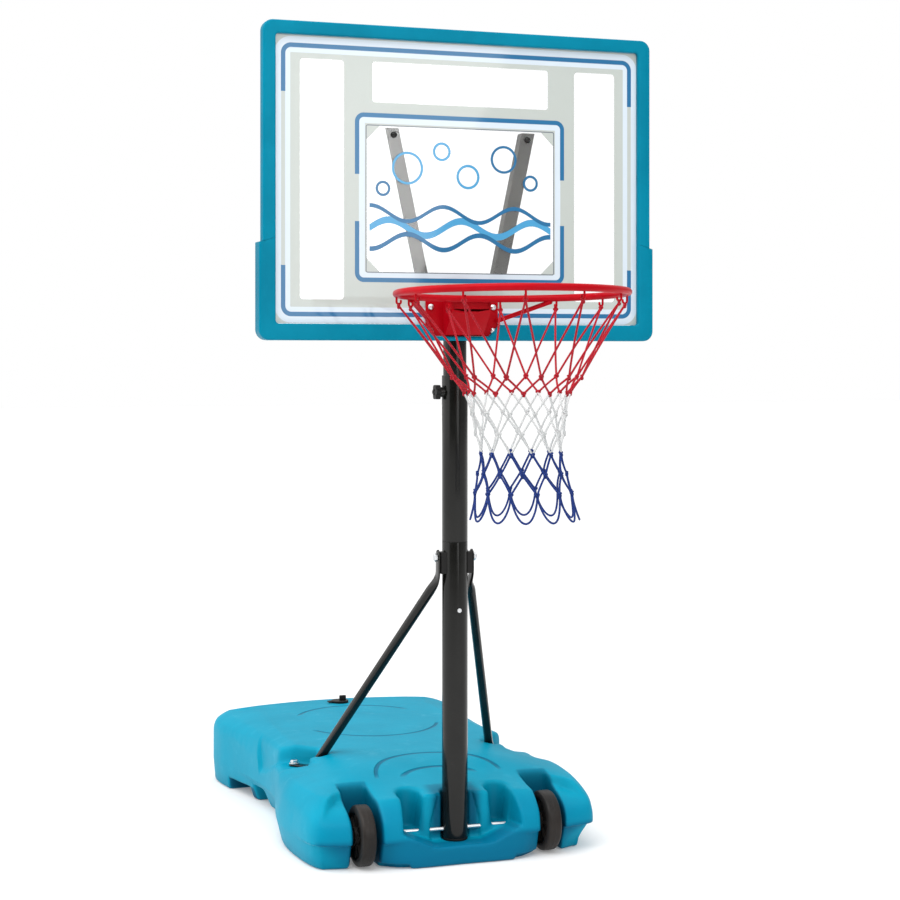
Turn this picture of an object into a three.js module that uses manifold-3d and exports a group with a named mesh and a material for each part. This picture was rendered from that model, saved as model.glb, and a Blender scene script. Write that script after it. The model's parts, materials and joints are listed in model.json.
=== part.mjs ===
// Poolside basketball hoop: a water-ballast base on two wheels, a telescoping pole held by
// two struts, and a clear backboard with a steel rim and a three-colour net.
// Millimetres, +Z up. The pole's axis is x = 0, y = 0, the floor is z = 0, the hoop points to
// -Y and the ballast base runs back along +Y.

import * as THREE from 'three';
import { mergeVertices } from 'three/addons/utils/BufferGeometryUtils.js';
import Module from 'manifold-3d';

const wasm = await Module();
wasm.setup();

// Clearances that every pair of touching pieces shares.
const seatGap = 0.3;
const overrun = 2;

// Base tank.
const baseHeight = 148;
const baseFrontY = -50;
const baseLength = 858;
const baseHalfWidth = 270;
const tankWall = 4;
const skirtHeight = 46;
// Shoulders: where the side, the round brow and the slope end, as shares of the base's height,
// and how far the skirt's top and the foot stand back from the side.
const lipShoulder = { sideShare: 0.405, browShare: 0.69, crownShare: 0.865, skirt: 0, foot: 1 };
const noseShoulder = { sideShare: 0.446, browShare: 0.69, crownShare: 0.865, skirt: 8, foot: 22 };
const podShoulder = { sideShare: 0.473, browShare: 0.777, crownShare: 0.892, skirt: 4, foot: 12 };
const waistShoulder = { sideShare: 0.716, browShare: 0.926, crownShare: 0.986, skirt: 6, foot: 26 };
const rearShoulder = { sideShare: 0.77, browShare: 0.932, crownShare: 1, skirt: 0, foot: 4 };
const browReachShare = 0.33;
const browRoundShare = 0.8;
const plateauShare = 0.7;
// Half of the base's plan from its front centre to its rear centre: the edge and the crown, each
// as a share of the half width and a share of the length, and the shoulder between them.
const planShares = [
  { edge: [0, 0], crown: [0, 0.145], shoulder: lipShoulder },
  { edge: [0.37, 0.001], crown: [0.35, 0.145], shoulder: lipShoulder },
  { edge: [0.55, 0.006], crown: [0.5, 0.145], shoulder: noseShoulder },
  { edge: [0.74, 0.018], crown: [0.63, 0.146], shoulder: noseShoulder },
  { edge: [0.89, 0.04], crown: [0.71, 0.152], shoulder: noseShoulder },
  { edge: [0.985, 0.085], crown: [0.745, 0.17], shoulder: podShoulder },
  { edge: [1, 0.155], crown: [0.755, 0.205], shoulder: podShoulder },
  { edge: [1.01, 0.25], crown: [0.755, 0.28], shoulder: podShoulder },
  { edge: [0.962, 0.34], crown: [0.735, 0.36], shoulder: podShoulder },
  { edge: [0.88, 0.44], crown: [0.72, 0.445], shoulder: waistShoulder },
  { edge: [0.845, 0.56], crown: [0.715, 0.56], shoulder: waistShoulder },
  { edge: [0.865, 0.67], crown: [0.715, 0.67], shoulder: waistShoulder },
  { edge: [0.91, 0.79], crown: [0.7, 0.785], shoulder: rearShoulder },
  { edge: [0.955, 0.88], crown: [0.705, 0.865], shoulder: rearShoulder },
  { edge: [0.955, 0.945], crown: [0.69, 0.905], shoulder: rearShoulder },
  { edge: [0.9, 0.985], crown: [0.64, 0.932], shoulder: rearShoulder },
  { edge: [0.78, 1], crown: [0.56, 0.945], shoulder: rearShoulder },
  { edge: [0.4, 1], crown: [0.3, 0.95], shoulder: rearShoulder },
  { edge: [0, 1], crown: [0, 0.95], shoulder: rearShoulder },
];
const planStepsPerSpan = 2;
const recessSides = 20;
const browSteps = 3;
const scallopSteps = 8;

// Axle and wheels.
const axleRadius = 4;
const axleY = 0;
const axleZ = 53;
const wheelRadius = 52;
const wheelWidth = 28;
const wheelX = 169.5;
const wheelHubRadius = 15;
const wheelHubOverhang = 1.5;
const wheelDish = 6;
const wheelRimWidth = 12;
const wheelShoulder = 7;
const wellBackY = 66;
const wellBackLean = 8;
const wellHalfWidth = 24.5;
const axleEndDepth = 16;
const wheelSides = 24;
const spacerRadius = 8;

// Pole.
const poleRadius = 22.5;
const poleWall = 2;
const upperPoleWall = 1.8;
const poleJointZ = 552;
const middlePoleTopZ = 841;
const spigotLength = 152;
const upperPoleBottomZ = 646;
const upperPoleTopZ = 1008;
const poleSides = 24;
const slotHalfWidth = 33;
const slotBackRadius = 26;
const slotFloorZ = 34;
const footFlange = 4;
const footPlugHeight = 44;
const poleCapFlange = 3;
const poleCapPlug = 14;
const boltRadius = 4;

// Snap button that locks the middle pole in the lower pole.
const buttonRadius = 3.8;
const buttonZ = 434;
const buttonProud = 2.2;
const buttonLeafWidth = 9;
const buttonLeafThick = 1;
const buttonLeafLength = 46;
const buttonLeafInset = 2.4;
const buttonLeafSpread = 26;

// Height knob on the pole's left side.
const knobZ = 812;
const knobRadius = 14;
const knobLength = 9;
const knobLobes = 6;
const knobLobeShare = 0.12;
const knobStemRadius = 4;
const knobBossRadius = 9;
const knobBossLength = 6;

// Struts.
const strutRadius = 8;
const strutBore = 6.6;
const strutFlat = 4;
const strutFlatWidth = 21;
const strutBoltZ = 525;
const strutFlatTopZ = 538;
const strutBendY = 10;
const strutBendZ = 480;
const strutFootX = 204;
const strutFootY = 317;
const strutKneeX = 174;
const strutKneeY = 288;
const strutKneeRise = 18;
const strutDrainRadius = 2;
const saddleThick = 6;
const saddleHeight = 37;
const saddleWidth = 25;
const saddleDrop = 28;

// Strut pockets in the base.
const pocketDepth = 36;
const pocketX = 232;
const pocketY = 300;
const pocketRadius = 62;
const kneeRoomRadius = 27;
const insertRadius = 7;
const insertDepth = 24;
const insertBossWall = 5;
const boltHeadRadius = 7.5;
const boltHeadHeight = 5;
const washerRadius = 10;
const washerThick = 1.5;

// Scallops over the axle and the lip in front of it.
const scallopX = 81;
const scallopTopRadius = 25;
const scallopFootRadius = 14;
const scallopBackY = 36;
const scallopFootZ = 54;
const lipFaceY = -6;
const lipFront = { topHalfWidth: 88, floorHalfWidth: 60 };
const lipBack = { topHalfWidth: 56, floorHalfWidth: 38 };
const lipTopZ = 59;
const lipBackZ = 37;

// Underside arches.
const archHeight = 22;
const archX = 229;
const archFrontShare = 0.692;
const archRearShare = 0.826;
const waistArchHeight = 30;
const waistArchX = 200;
const waistArchFrontShare = 0.62;
const notchHeight = 6;
const notchHalfWidth = 30;
const notchX = 88;
const notchDepth = 110;

// Fill plug.
const fillX = 6;
const fillFromRear = 73;
const fillRadius = 14;
const plugDepth = 12;
const plugFlangeRadius = 18;
const plugFlangeThick = 3;
const plugGripWidth = 14;
const plugGripThick = 6;
const plugGripHeight = 10;
const plugGripX = 6;
const plugTabLength = 8;
const plugTabWidth = 13;
const plugTabThick = 2.5;
const sealThick = 1.2;
const sealInnerShare = 0.86;

// Backboard.
const boardHalfWidth = 354;
const boardBottomZ = 901;
const boardTopZ = 1436;
const boardFrontY = -43.5;
const boardDepth = 19;
const boardCorner = 18;
const frameBand = 22.5;
const frameBottomBand = 28;
const frameGrooveDepth = 7;
const padHalfWidth = 360;
const padTopZ = 1065;
const padCorner = 2;
const padDepth = 30;
const padPoleGap = 70;
const panelThick = 3;
const panelFrontY = -34;
const panelCorner = 12;
const cornerSteps = 4;

// Bars behind the panel.
const barThick = 2.5;
const barWidth = 24;
const barWebDepth = 20;
const barTopZ = 1264;
const barTopX = 125;
const barBottomZ = 930;
const barBottomX = 54;
const barTopBoltDrop = 12;
const smallBoltRadius = 3;
const smallHeadRadius = 5.5;
const smallHeadHeight = 4;
const smallNutHeight = 5;

// Rim and its bracket.
const rimRadius = 186.5;
const rimTube = 6;
const rimY = -275;
const rimZ = 975.7;
const rimTilt = 0.021;
const rimSides = 42;
const rimTubeSides = 8;
const rimPlateThick = 3;
const rimPlateHalfWidth = 66;
const rimPlateBottomZ = 909;
const rimPlateTopZ = 972;
const rimBoltX = 57;
const rimBoltLowZ = 918;
const rimBoltHighZ = 959;
const rimBoxHalfWidth = 35;
const rimBoxSheet = 2.5;
const rimBoxLipDrop = 12;
const braceRadius = 4;
const braceAngle = THREE.MathUtils.degToRad(48);
const braceWallX = 61.5;
const braceWallZ = 935;

// Head bracket that carries the board on the upper pole.
const headPlateThick = 3;
const headPlateBottomZ = 909;
const headPlateTopZ = 1000;
const headCheekThick = 3;
const headCheekBottomZ = 942;
const headCheekBack = 15;
const headBoltLowZ = 956;
const headBoltHighZ = 988;

// Net: twelve hooks, and rows of knots that halve the pitch from one row to the next.
const netLoops = 12;
const netLength = 344.9;
const netSwing = 21.7;
const netHookDrop = 4.8;
const netCord = 1.7;
const netCordSides = 4;
const netKnot = 3.6;
const netFit = 0.5;
const netMiddleLead = 1.72;
const netLowerLead = 1.5;
const hookWire = 1.8;
const hookDrop = 9;
const hookReach = 7;
// Rows of knots: how far down the net each lies, its radius as a share of the rim's, and how
// far it is wound round, as a share of a loop. The net hangs a little to one side.
const netUpperShares = [[0, 0.981, 0], [0.333, 0.568, 0], [0.4085, 0.461, 0]];
const netMiddleShares = [
  [0.4085, 0.461, 0], [0.503, 0.415, -0.06], [0.597, 0.384, -0.13], [0.69, 0.358, -0.19],
];
const netLowerShares = [
  [0.69, 0.358, -0.19], [0.784, 0.386, -0.19], [0.872, 0.432, -0.19], [1, 0.473, -0.19],
];

// Sizes that follow from the ones above.
const pocketFloorZ = baseHeight - pocketDepth;
const fillY = baseFrontY + baseLength - fillFromRear;
const netTopZ = rimZ - rimTube - hookDrop - netHookDrop;
const upperPoleRadius = poleRadius - poleWall - seatGap;
const spigotRadius = upperPoleRadius;
const spigotBore = spigotRadius - poleWall;
const panelBackY = panelFrontY + panelThick;
const barFrontY = panelBackY + seatGap;
const headPlateFrontY = barFrontY + barThick + seatGap;
const headPlateBackY = headPlateFrontY + headPlateThick;
const rimPlateBackY = panelFrontY - seatGap;
const rimPlateFrontY = rimPlateBackY - rimPlateThick;
const frameInner = boardHalfWidth - frameBand;
const boardBackY = boardFrontY + boardDepth;
const saddleOuterX = poleRadius + seatGap + saddleThick;
const strutTopX = saddleOuterX + seatGap + strutFlat / 2;
const footFlatZ = pocketFloorZ + seatGap + strutFlat / 2;

// Finishes.
const finish = (color, roughness, metalness) =>
  new THREE.MeshStandardMaterial({ color, roughness, metalness });
const teal = finish(0x1b93b8, 0.55, 0);
const darkTeal = finish(0x0a86a4, 0.45, 0);
const blackSteel = finish(0x2b2b29, 0.4, 0.3);
const greySteel = finish(0x55554f, 0.5, 0.4);
const blackPlastic = finish(0x141414, 0.5, 0);
const zinc = finish(0xb9bcc0, 0.35, 0.9);
const redSteel = finish(0xc01823, 0.35, 0.2);
const clearSheet = finish(0xe8eef2, 0.1, 0);
const redCord = finish(0xb81426, 0.8, 0);
const whiteCord = finish(0xf2f2ee, 0.85, 0);
const blueCord = finish(0x1c3f96, 0.8, 0);
const rubber = finish(0x202020, 0.9, 0);

const hoop = new THREE.Group();

const vec = (x, y, z) => new THREE.Vector3(x, y, z);

// The right strut's bends, and the place where its tube meets the height of the base's top.
const strutBend = vec(strutTopX, strutBendY, strutBendZ);
const strutKnee = vec(strutKneeX, strutKneeY, footFlatZ + strutKneeRise);
const kneeRoom = strutKnee.clone().lerp(
  strutBend, (baseHeight - strutKnee.z) / (strutBend.z - strutKnee.z),
);

function add(name, solid, material) {
  const mesh = new THREE.Mesh(geometryOf(solid), material);
  mesh.name = name;
  hoop.add(mesh);
  return mesh;
}

// A closed geometry as a solid for cutting and joining.
function solidOf(geometry) {
  const bare = geometry.clone();
  bare.deleteAttribute('normal');
  bare.deleteAttribute('uv');
  const merged = mergeVertices(bare);
  const corners = Array.from(merged.index.array);
  const triangles = [];
  for (let i = 0; i < corners.length; i += 3) {
    const [a, b, c] = corners.slice(i, i + 3);
    if (a !== b && b !== c && c !== a) triangles.push(a, b, c);
  }
  return new wasm.Manifold(new wasm.Mesh({
    numProp: 3,
    vertProperties: new Float32Array(merged.attributes.position.array),
    triVerts: new Uint32Array(triangles),
  }));
}

function geometryOf(solid) {
  const mesh = solid.getMesh();
  const geometry = new THREE.BufferGeometry();
  geometry.setAttribute('position', new THREE.BufferAttribute(mesh.vertProperties, mesh.numProp));
  geometry.setIndex(new THREE.BufferAttribute(mesh.triVerts, 1));
  geometry.computeVertexNormals();
  return geometry;
}

const join = (first, ...rest) => rest.reduce((whole, piece) => whole.add(piece), first);
const cut = (first, ...rest) => rest.reduce((whole, piece) => whole.subtract(piece), first);

function block(x0, x1, y0, y1, z0, z1) {
  const box = new THREE.BoxGeometry(x1 - x0, y1 - y0, z1 - z0);
  return solidOf(box.translate((x0 + x1) / 2, (y0 + y1) / 2, (z0 + z1) / 2));
}

function rod(from, to, radius, sides) {
  const span = to.clone().sub(from);
  const bar = new THREE.CylinderGeometry(radius, radius, span.length(), sides);
  bar.rotateY(Math.PI / sides);
  bar.applyQuaternion(new THREE.Quaternion().setFromUnitVectors(vec(0, 1, 0), span.normalize()));
  const middle = from.clone().add(to).multiplyScalar(1 / 2);
  return solidOf(bar.translate(middle.x, middle.y, middle.z));
}

const rodX = (x0, x1, y, z, radius, sides) => rod(vec(x0, y, z), vec(x1, y, z), radius, sides);
const rodY = (x, y0, y1, z, radius, sides) => rod(vec(x, y0, z), vec(x, y1, z), radius, sides);
const rodZ = (x, y, z0, z1, radius, sides) => rod(vec(x, y, z0), vec(x, y, z1), radius, sides);

// A shape drawn in one plane and carried along the axis that stands on it.
function prism(shape, length, axes) {
  const slab = new THREE.ExtrudeGeometry(shape, { depth: length, bevelEnabled: false, curveSegments: 5 });
  return slab.applyMatrix4(axes);
}

function alongX(shape, x0, x1) {
  const axes = new THREE.Matrix4().makeBasis(vec(0, 1, 0), vec(0, 0, 1), vec(1, 0, 0));
  return solidOf(prism(shape, x1 - x0, axes).translate(x0, 0, 0));
}

function alongY(shape, y0, y1) {
  const axes = new THREE.Matrix4().makeBasis(vec(1, 0, 0), vec(0, 0, 1), vec(0, -1, 0));
  return solidOf(prism(shape, y1 - y0, axes).translate(0, y1, 0));
}

function outline(points) {
  return new THREE.Shape(points.map(([u, v]) => new THREE.Vector2(u, v)));
}

// A rectangle with rounded corners; each corner has its own radius, from lower left, counterclockwise.
function roundedRectangle(u0, u1, v0, v1, radii) {
  const corners = [[u0, v0, Math.PI], [u1, v0, -Math.PI / 2], [u1, v1, 0], [u0, v1, Math.PI / 2]];
  const points = [];
  corners.forEach(([u, v, start], k) => {
    const r = radii[k];
    const cu = u + (k === 0 || k === 3 ? r : -r);
    const cv = v + (k < 2 ? r : -r);
    for (let step = 0; step <= cornerSteps; step += 1) {
      const angle = start + (step / cornerSteps) * (Math.PI / 2);
      points.push([cu + r * Math.cos(angle), cv + r * Math.sin(angle)]);
    }
  });
  return outline(points);
}

// A turned solid about the Z axis from a closed profile of [radius, z] points.
function turned(profile, sides) {
  const points = [...profile, profile[0]].map(([r, z]) => new THREE.Vector2(r, z));
  const spun = new THREE.LatheGeometry(points, sides);
  return solidOf(spun.rotateX(Math.PI / 2));
}

// Skin over a stack of rings that all have the same number of points, closed by a fan at each end.
// Each ring runs counterclockwise about the way the stack grows.
function loft(rings) {
  const count = rings[0].length;
  const positions = [];
  const triangles = [];
  rings.forEach((ring) => ring.forEach((p) => positions.push(p.x, p.y, p.z)));
  const middleOf = (ring) => ring.reduce((sum, p) => sum.add(p), vec(0, 0, 0)).multiplyScalar(1 / count);
  const first = middleOf(rings[0]);
  const last = middleOf(rings[rings.length - 1]);
  positions.push(first.x, first.y, first.z, last.x, last.y, last.z);
  const firstIndex = rings.length * count;
  const lastIndex = firstIndex + 1;
  for (let j = 0; j < count; j += 1) {
    const next = (j + 1) % count;
    for (let i = 0; i + 1 < rings.length; i += 1) {
      const a = i * count + j;
      const b = i * count + next;
      triangles.push(a, b, b + count, a, b + count, a + count);
    }
    const top = (rings.length - 1) * count;
    triangles.push(firstIndex, next, j, lastIndex, top + j, top + next);
  }
  const skin = new THREE.BufferGeometry();
  skin.setAttribute('position', new THREE.Float32BufferAttribute(positions, 3));
  skin.setIndex(triangles);
  return solidOf(skin);
}

// Base tank: points of the edge with the way out from the tank, the crown and the shoulder at each.
function basePlan() {
  const placed = ([xShare, yShare], mirror) =>
    vec(mirror * xShare * baseHalfWidth, baseFrontY + yShare * baseLength, 0);
  const half = (mirror) => planShares.map(({ edge, crown, shoulder }) =>
    ({ edge: placed(edge, mirror), crown: placed(crown, mirror), shoulder }));
  const all = [...half(1), ...half(-1).slice(1, -1).reverse()];
  const edgePath = new THREE.CatmullRomCurve3(all.map((key) => key.edge), true, 'centripetal');
  const crownPath = new THREE.CatmullRomCurve3(all.map((key) => key.crown), true, 'centripetal');
  const count = all.length * planStepsPerSpan;
  return Array.from({ length: count }, (_, step) => {
    const share = step / count;
    const along = edgePath.getTangent(share);
    const here = Math.floor(step / planStepsPerSpan);
    const near = all[here].shoulder;
    const far = all[(here + 1) % all.length].shoulder;
    const blend = (step % planStepsPerSpan) / planStepsPerSpan;
    const mixed = (key) => near[key] + (far[key] - near[key]) * blend;
    return {
      edge: edgePath.getPoint(share),
      crown: crownPath.getPoint(share),
      out: vec(along.y, -along.x, 0).normalize(),
      sideZ: mixed('sideShare') * baseHeight,
      browZ: mixed('browShare') * baseHeight,
      crownZ: mixed('crownShare') * baseHeight,
      skirt: mixed('skirt'),
      foot: mixed('foot'),
    };
  });
}

const plan = basePlan();

// The tank's skin, drawn in by a wall on every side where a wall is given.
function baseSkin(wall) {
  const points = plan.filter((_, k) => wall === 0 || k % planStepsPerSpan === 0);
  const level = (placeOf, heightOf) => points.map((p) =>
    placeOf(p).addScaledVector(p.out, -wall).setZ(heightOf(p)));
  const underSide = (inset) => (p) => p.edge.clone().addScaledVector(p.out, -inset(p));
  const rings = [
    level(underSide((p) => p.foot), () => wall),
    level(underSide((p) => p.skirt), () => skirtHeight + wall - seatGap),
    level(underSide(() => 0), () => skirtHeight + wall),
  ];
  for (let step = 0; step <= browSteps; step += 1) {
    const angle = (step / browSteps) * (Math.PI / 2);
    const inward = 1 - Math.cos(angle);
    const rise = browRoundShare * Math.sin(angle) + (1 - browRoundShare) * inward;
    rings.push(level(
      (p) => p.edge.clone().lerp(p.crown, browReachShare * inward),
      (p) => p.sideZ + (p.browZ - p.sideZ) * rise - wall,
    ));
  }
  const middle = vec(0, baseFrontY + baseLength / 2, 0);
  rings.push(level((p) => p.crown.clone(), (p) => p.crownZ - wall));
  rings.push(level((p) => middle.clone().lerp(p.crown, plateauShare), () => baseHeight - wall));
  return loft(rings);
}

// A scoop that opens to the front: straight sides and a half-round back, wider at the top.
function scallop(side, wall) {
  const levels = [
    { z: scallopFootZ - wall, r: scallopFootRadius + wall },
    { z: baseHeight + overrun, r: scallopTopRadius + wall },
  ];
  return loft(levels.map(({ z, r }) => {
    const centreY = scallopBackY + wall - r;
    const back = Array.from({ length: scallopSteps + 1 }, (_, step) => {
      const angle = (step / scallopSteps) * Math.PI;
      return vec(side * scallopX + r * Math.cos(angle), centreY + r * Math.sin(angle), z);
    });
    const front = baseFrontY - overrun - wall;
    return [vec(side * scallopX + r, front, z), ...back, vec(side * scallopX - r, front, z)];
  }));
}

// The lip: a channel that widens and falls to the front, cut back over the height of the nose.
function lipCut(wall) {
  const front = baseFrontY - overrun - wall;
  const section = (y, floorZ, { topHalfWidth, floorHalfWidth }) => [
    [-topHalfWidth, lipTopZ], [-floorHalfWidth, floorZ], [floorHalfWidth, floorZ],
    [topHalfWidth, lipTopZ], [topHalfWidth, baseHeight], [-topHalfWidth, baseHeight],
  ].map(([x, z]) => vec(x + Math.sign(x) * wall, y, z - wall));
  return loft([
    section(lipFaceY + wall, lipBackZ, lipBack), section(front, slotFloorZ, lipFront),
  ]);
}

// Everything that is cut from the tank's skin, each cut grown by a wall where one is given.
function baseRecesses(wall) {
  const front = baseFrontY - overrun - wall;
  const under = -overrun - wall;
  const top = baseHeight + overrun;
  const round = wall === 0 ? recessSides : recessSides / 2;
  const archY = (share) => baseFrontY + share * baseLength;
  const outside = baseHalfWidth + overrun + wall;
  const sideBlock = (side, x, y0, y1, height) =>
    block(...[side * x, side * outside].sort((a, b) => a - b), y0, y1, under, height);
  const half = wellHalfWidth + wall;
  const recesses = [-1, 1].flatMap((side) => [
    alongX(
      outline([
        [front, under], [wellBackY - wellBackLean + wall, under], [wellBackY + wall, top], [front, top],
      ]),
      side * wheelX - half, side * wheelX + half,
    ),
    scallop(side, wall),
    rodZ(side * pocketX, pocketY, pocketFloorZ - wall, top, pocketRadius + wall, round),
    rodZ(side * kneeRoom.x, kneeRoom.y, pocketFloorZ - wall, top, kneeRoomRadius + wall, round),
    sideBlock(
      side, archX - wall, archY(archFrontShare) - wall, archY(archRearShare) + wall, archHeight + wall,
    ),
    sideBlock(
      side, waistArchX - wall, archY(waistArchFrontShare) - wall, archY(archFrontShare) + wall,
      waistArchHeight + wall,
    ),
    block(
      side * notchX - notchHalfWidth - wall, side * notchX + notchHalfWidth + wall,
      front, baseFrontY + notchDepth + wall, under, notchHeight + wall,
    ),
  ]);
  const slotBack = rodZ(0, 0, slotFloorZ - wall, top, slotBackRadius + wall, round);
  const slotFront = block(
    -slotHalfWidth - wall, slotHalfWidth + wall, -slotHalfWidth - wall, wall, slotFloorZ - wall, top,
  );
  return [...recesses, slotBack, slotFront, lipCut(wall)];
}

const axleEndX = wheelX + wellHalfWidth + axleEndDepth;

function baseTank() {
  const bores = (extra) => [
    rodX(-axleEndX - extra, axleEndX + extra, axleY, axleZ, axleRadius + seatGap + extra, 12),
    ...[-1, 1].map((side) => rodZ(
      side * strutFootX, strutFootY, pocketFloorZ - insertDepth - seatGap - extra,
      pocketFloorZ + overrun, insertRadius + seatGap + extra, 12,
    )),
  ];
  const hollows = cut(baseSkin(tankWall), ...baseRecesses(tankWall), ...bores(insertBossWall));
  const rooms = hollows.decompose().sort((a, b) => b.volume() - a.volume());
  const fillHole = rodZ(fillX, fillY, baseHeight - tankWall - overrun, baseHeight + overrun, fillRadius, 20);
  return cut(baseSkin(0), ...baseRecesses(0), ...bores(0), rooms[0], fillHole).asOriginal().simplify(seatGap);
}

// Fill plug with a grip and a pull tab, and the seal under its flange.
function fillCap() {
  const flangeZ = baseHeight + sealThick + seatGap + seatGap;
  const gripZ = flangeZ + plugFlangeThick;
  const profile = [
    [0, flangeZ - plugDepth],
    [fillRadius - seatGap, flangeZ - plugDepth],
    [fillRadius - seatGap, flangeZ],
    [plugFlangeRadius, flangeZ],
    [plugFlangeRadius, gripZ],
    [0, gripZ],
  ];
  const body = turned(profile, 24).translate([fillX, fillY, 0]);
  const gripX = fillX + plugGripX;
  const grip = block(
    gripX - plugGripWidth / 2, gripX + plugGripWidth / 2,
    fillY - plugGripThick / 2, fillY + plugGripThick / 2,
    gripZ - seatGap, gripZ + plugGripHeight,
  );
  const tab = block(
    fillX - plugFlangeRadius - plugTabLength, fillX, fillY - plugTabWidth / 2, fillY + plugTabWidth / 2,
    flangeZ, flangeZ + plugTabThick,
  );
  return join(body, grip, tab);
}

function capSeal() {
  const z0 = baseHeight + seatGap;
  const profile = [
    [plugFlangeRadius * sealInnerShare, z0],
    [plugFlangeRadius, z0],
    [plugFlangeRadius, z0 + sealThick],
    [plugFlangeRadius * sealInnerShare, z0 + sealThick],
  ];
  return turned(profile, 24).translate([fillX, fillY, 0]);
}

// Wheel: a tyre-shaped rim, a dished web and a hub, turned about the axle.
function wheel(side) {
  const half = wheelWidth / 2;
  const hubHalf = half + wheelHubOverhang;
  const rimInner = wheelRadius - wheelRimWidth;
  const bore = axleRadius + seatGap;
  const rightSide = [
    [bore, hubHalf],
    [wheelHubRadius, hubHalf],
    [wheelHubRadius, half - wheelDish],
    [rimInner, half - wheelDish],
    [rimInner, half],
    [wheelRadius - wheelShoulder, half],
    [wheelRadius - wheelShoulder * (1 - Math.SQRT1_2), half - wheelShoulder * (1 - Math.SQRT1_2)],
    [wheelRadius, half - wheelShoulder],
  ];
  const leftSide = rightSide.map(([r, x]) => [r, -x]).reverse();
  const spun = turned([...leftSide, ...rightSide].reverse(), wheelSides);
  return spun.rotate([0, 90, 0]).translate([side * wheelX, axleY, axleZ]);
}

function tubeX(x0, x1, y, z, outer, inner, sides) {
  return cut(rodX(x0, x1, y, z, outer, sides), rodX(x0 - overrun, x1 + overrun, y, z, inner, 12));
}

// Spacer tubes hold each wheel in the middle of its well.
function wheelSpacer(side, inner) {
  const hub = wheelWidth / 2 + wheelHubOverhang + seatGap;
  const wall = wellHalfWidth - seatGap;
  const [a, b] = inner ? [-wall, -hub] : [hub, wall];
  const ends = [side * (wheelX + a), side * (wheelX + b)].sort((p, q) => p - q);
  return tubeX(...ends, axleY, axleZ, spacerRadius, axleRadius + seatGap, 12);
}

// Pole: three tubes, a foot plug over the axle and a cap on the top.
const poleBottomZ = slotFloorZ + seatGap + footFlange + seatGap;

function poleFoot() {
  const z0 = slotFloorZ + seatGap;
  const plug = turned([
    [0, z0],
    [poleRadius, z0],
    [poleRadius, z0 + footFlange],
    [poleRadius - poleWall - seatGap, z0 + footFlange],
    [poleRadius - poleWall - seatGap, z0 + footPlugHeight],
    [0, z0 + footPlugHeight],
  ], poleSides);
  return cut(plug, rodX(-poleRadius * 2, poleRadius * 2, axleY, axleZ, axleRadius + seatGap, 12));
}

function poleLower() {
  const tube = turned([
    [poleRadius - poleWall, poleBottomZ],
    [poleRadius, poleBottomZ],
    [poleRadius, poleJointZ],
    [poleRadius - poleWall, poleJointZ],
  ], poleSides);
  return cut(
    tube,
    rodX(-poleRadius * 2, poleRadius * 2, axleY, axleZ, axleRadius + seatGap, 12),
    rodX(-poleRadius * 2, poleRadius * 2, 0, strutBoltZ, boltRadius + seatGap, 12),
    rodY(0, -poleRadius * 2, 0, buttonZ, buttonRadius + seatGap, 12),
  );
}

function poleMiddle() {
  const jointZ = poleJointZ + seatGap;
  const tube = turned([
    [spigotBore, jointZ - spigotLength],
    [spigotRadius, jointZ - spigotLength],
    [spigotRadius, jointZ],
    [poleRadius, jointZ],
    [poleRadius, middlePoleTopZ],
    [poleRadius - poleWall, middlePoleTopZ],
    [poleRadius - poleWall, jointZ + poleWall],
    [spigotBore, jointZ + poleWall],
  ], poleSides);
  return cut(
    tube,
    rodX(-poleRadius * 2, poleRadius * 2, 0, strutBoltZ, boltRadius + seatGap, 12),
    rodY(0, -poleRadius * 2, 0, buttonZ, buttonRadius + seatGap, 12),
    rodX(-poleRadius * 2, 0, 0, knobZ, knobStemRadius + seatGap, 12),
  );
}

function poleUpper() {
  const tube = turned([
    [upperPoleRadius - upperPoleWall, upperPoleBottomZ],
    [upperPoleRadius, upperPoleBottomZ],
    [upperPoleRadius, upperPoleTopZ],
    [upperPoleRadius - upperPoleWall, upperPoleTopZ],
  ], poleSides);
  const bolts = [headBoltLowZ, headBoltHighZ];
  return cut(tube, ...bolts.map((z) =>
    rodX(-poleRadius * 2, poleRadius * 2, 0, z, boltRadius + seatGap, 12)));
}

function poleCap() {
  const z0 = upperPoleTopZ + seatGap;
  return turned([
    [0, z0 - poleCapPlug],
    [upperPoleRadius - upperPoleWall - seatGap, z0 - poleCapPlug],
    [upperPoleRadius - upperPoleWall - seatGap, z0],
    [upperPoleRadius, z0],
    [upperPoleRadius, z0 + poleCapFlange],
    [0, z0 + poleCapFlange],
  ], poleSides);
}

// Snap button on a bent leaf spring that sits inside the spigot.
function snapButton() {
  const leafY = -spigotBore + buttonLeafInset;
  const pin = rodY(0, -poleRadius - buttonProud, leafY + buttonLeafThick, buttonZ, buttonRadius, 12);
  const half = buttonLeafWidth / 2;
  const z0 = buttonZ - buttonLeafWidth;
  const z1 = buttonZ + buttonLeafLength;
  const leaf = outline([
    [leafY, z0],
    [leafY + buttonLeafThick, z0],
    [leafY + buttonLeafThick, z1],
    [leafY + buttonLeafSpread - buttonLeafThick, z0],
    [leafY + buttonLeafSpread, z0],
    [leafY + buttonLeafThick * 2, z1 + buttonLeafThick * 2],
    [leafY, z1 + buttonLeafThick * 2],
  ]);
  return join(alongX(leaf, -half, half), pin);
}

// Height knob, its stem and the boss welded on the middle pole.
function knobBoss() {
  const boss = rodX(-poleRadius - knobBossLength, -poleRadius / 2, 0, knobZ, knobBossRadius, 16);
  return cut(
    boss,
    rodZ(0, 0, knobZ - knobBossRadius * 2, knobZ + knobBossRadius * 2, poleRadius + seatGap, poleSides),
    rodX(-poleRadius * 2, 0, 0, knobZ, knobStemRadius + seatGap, 12),
  );
}

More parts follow.
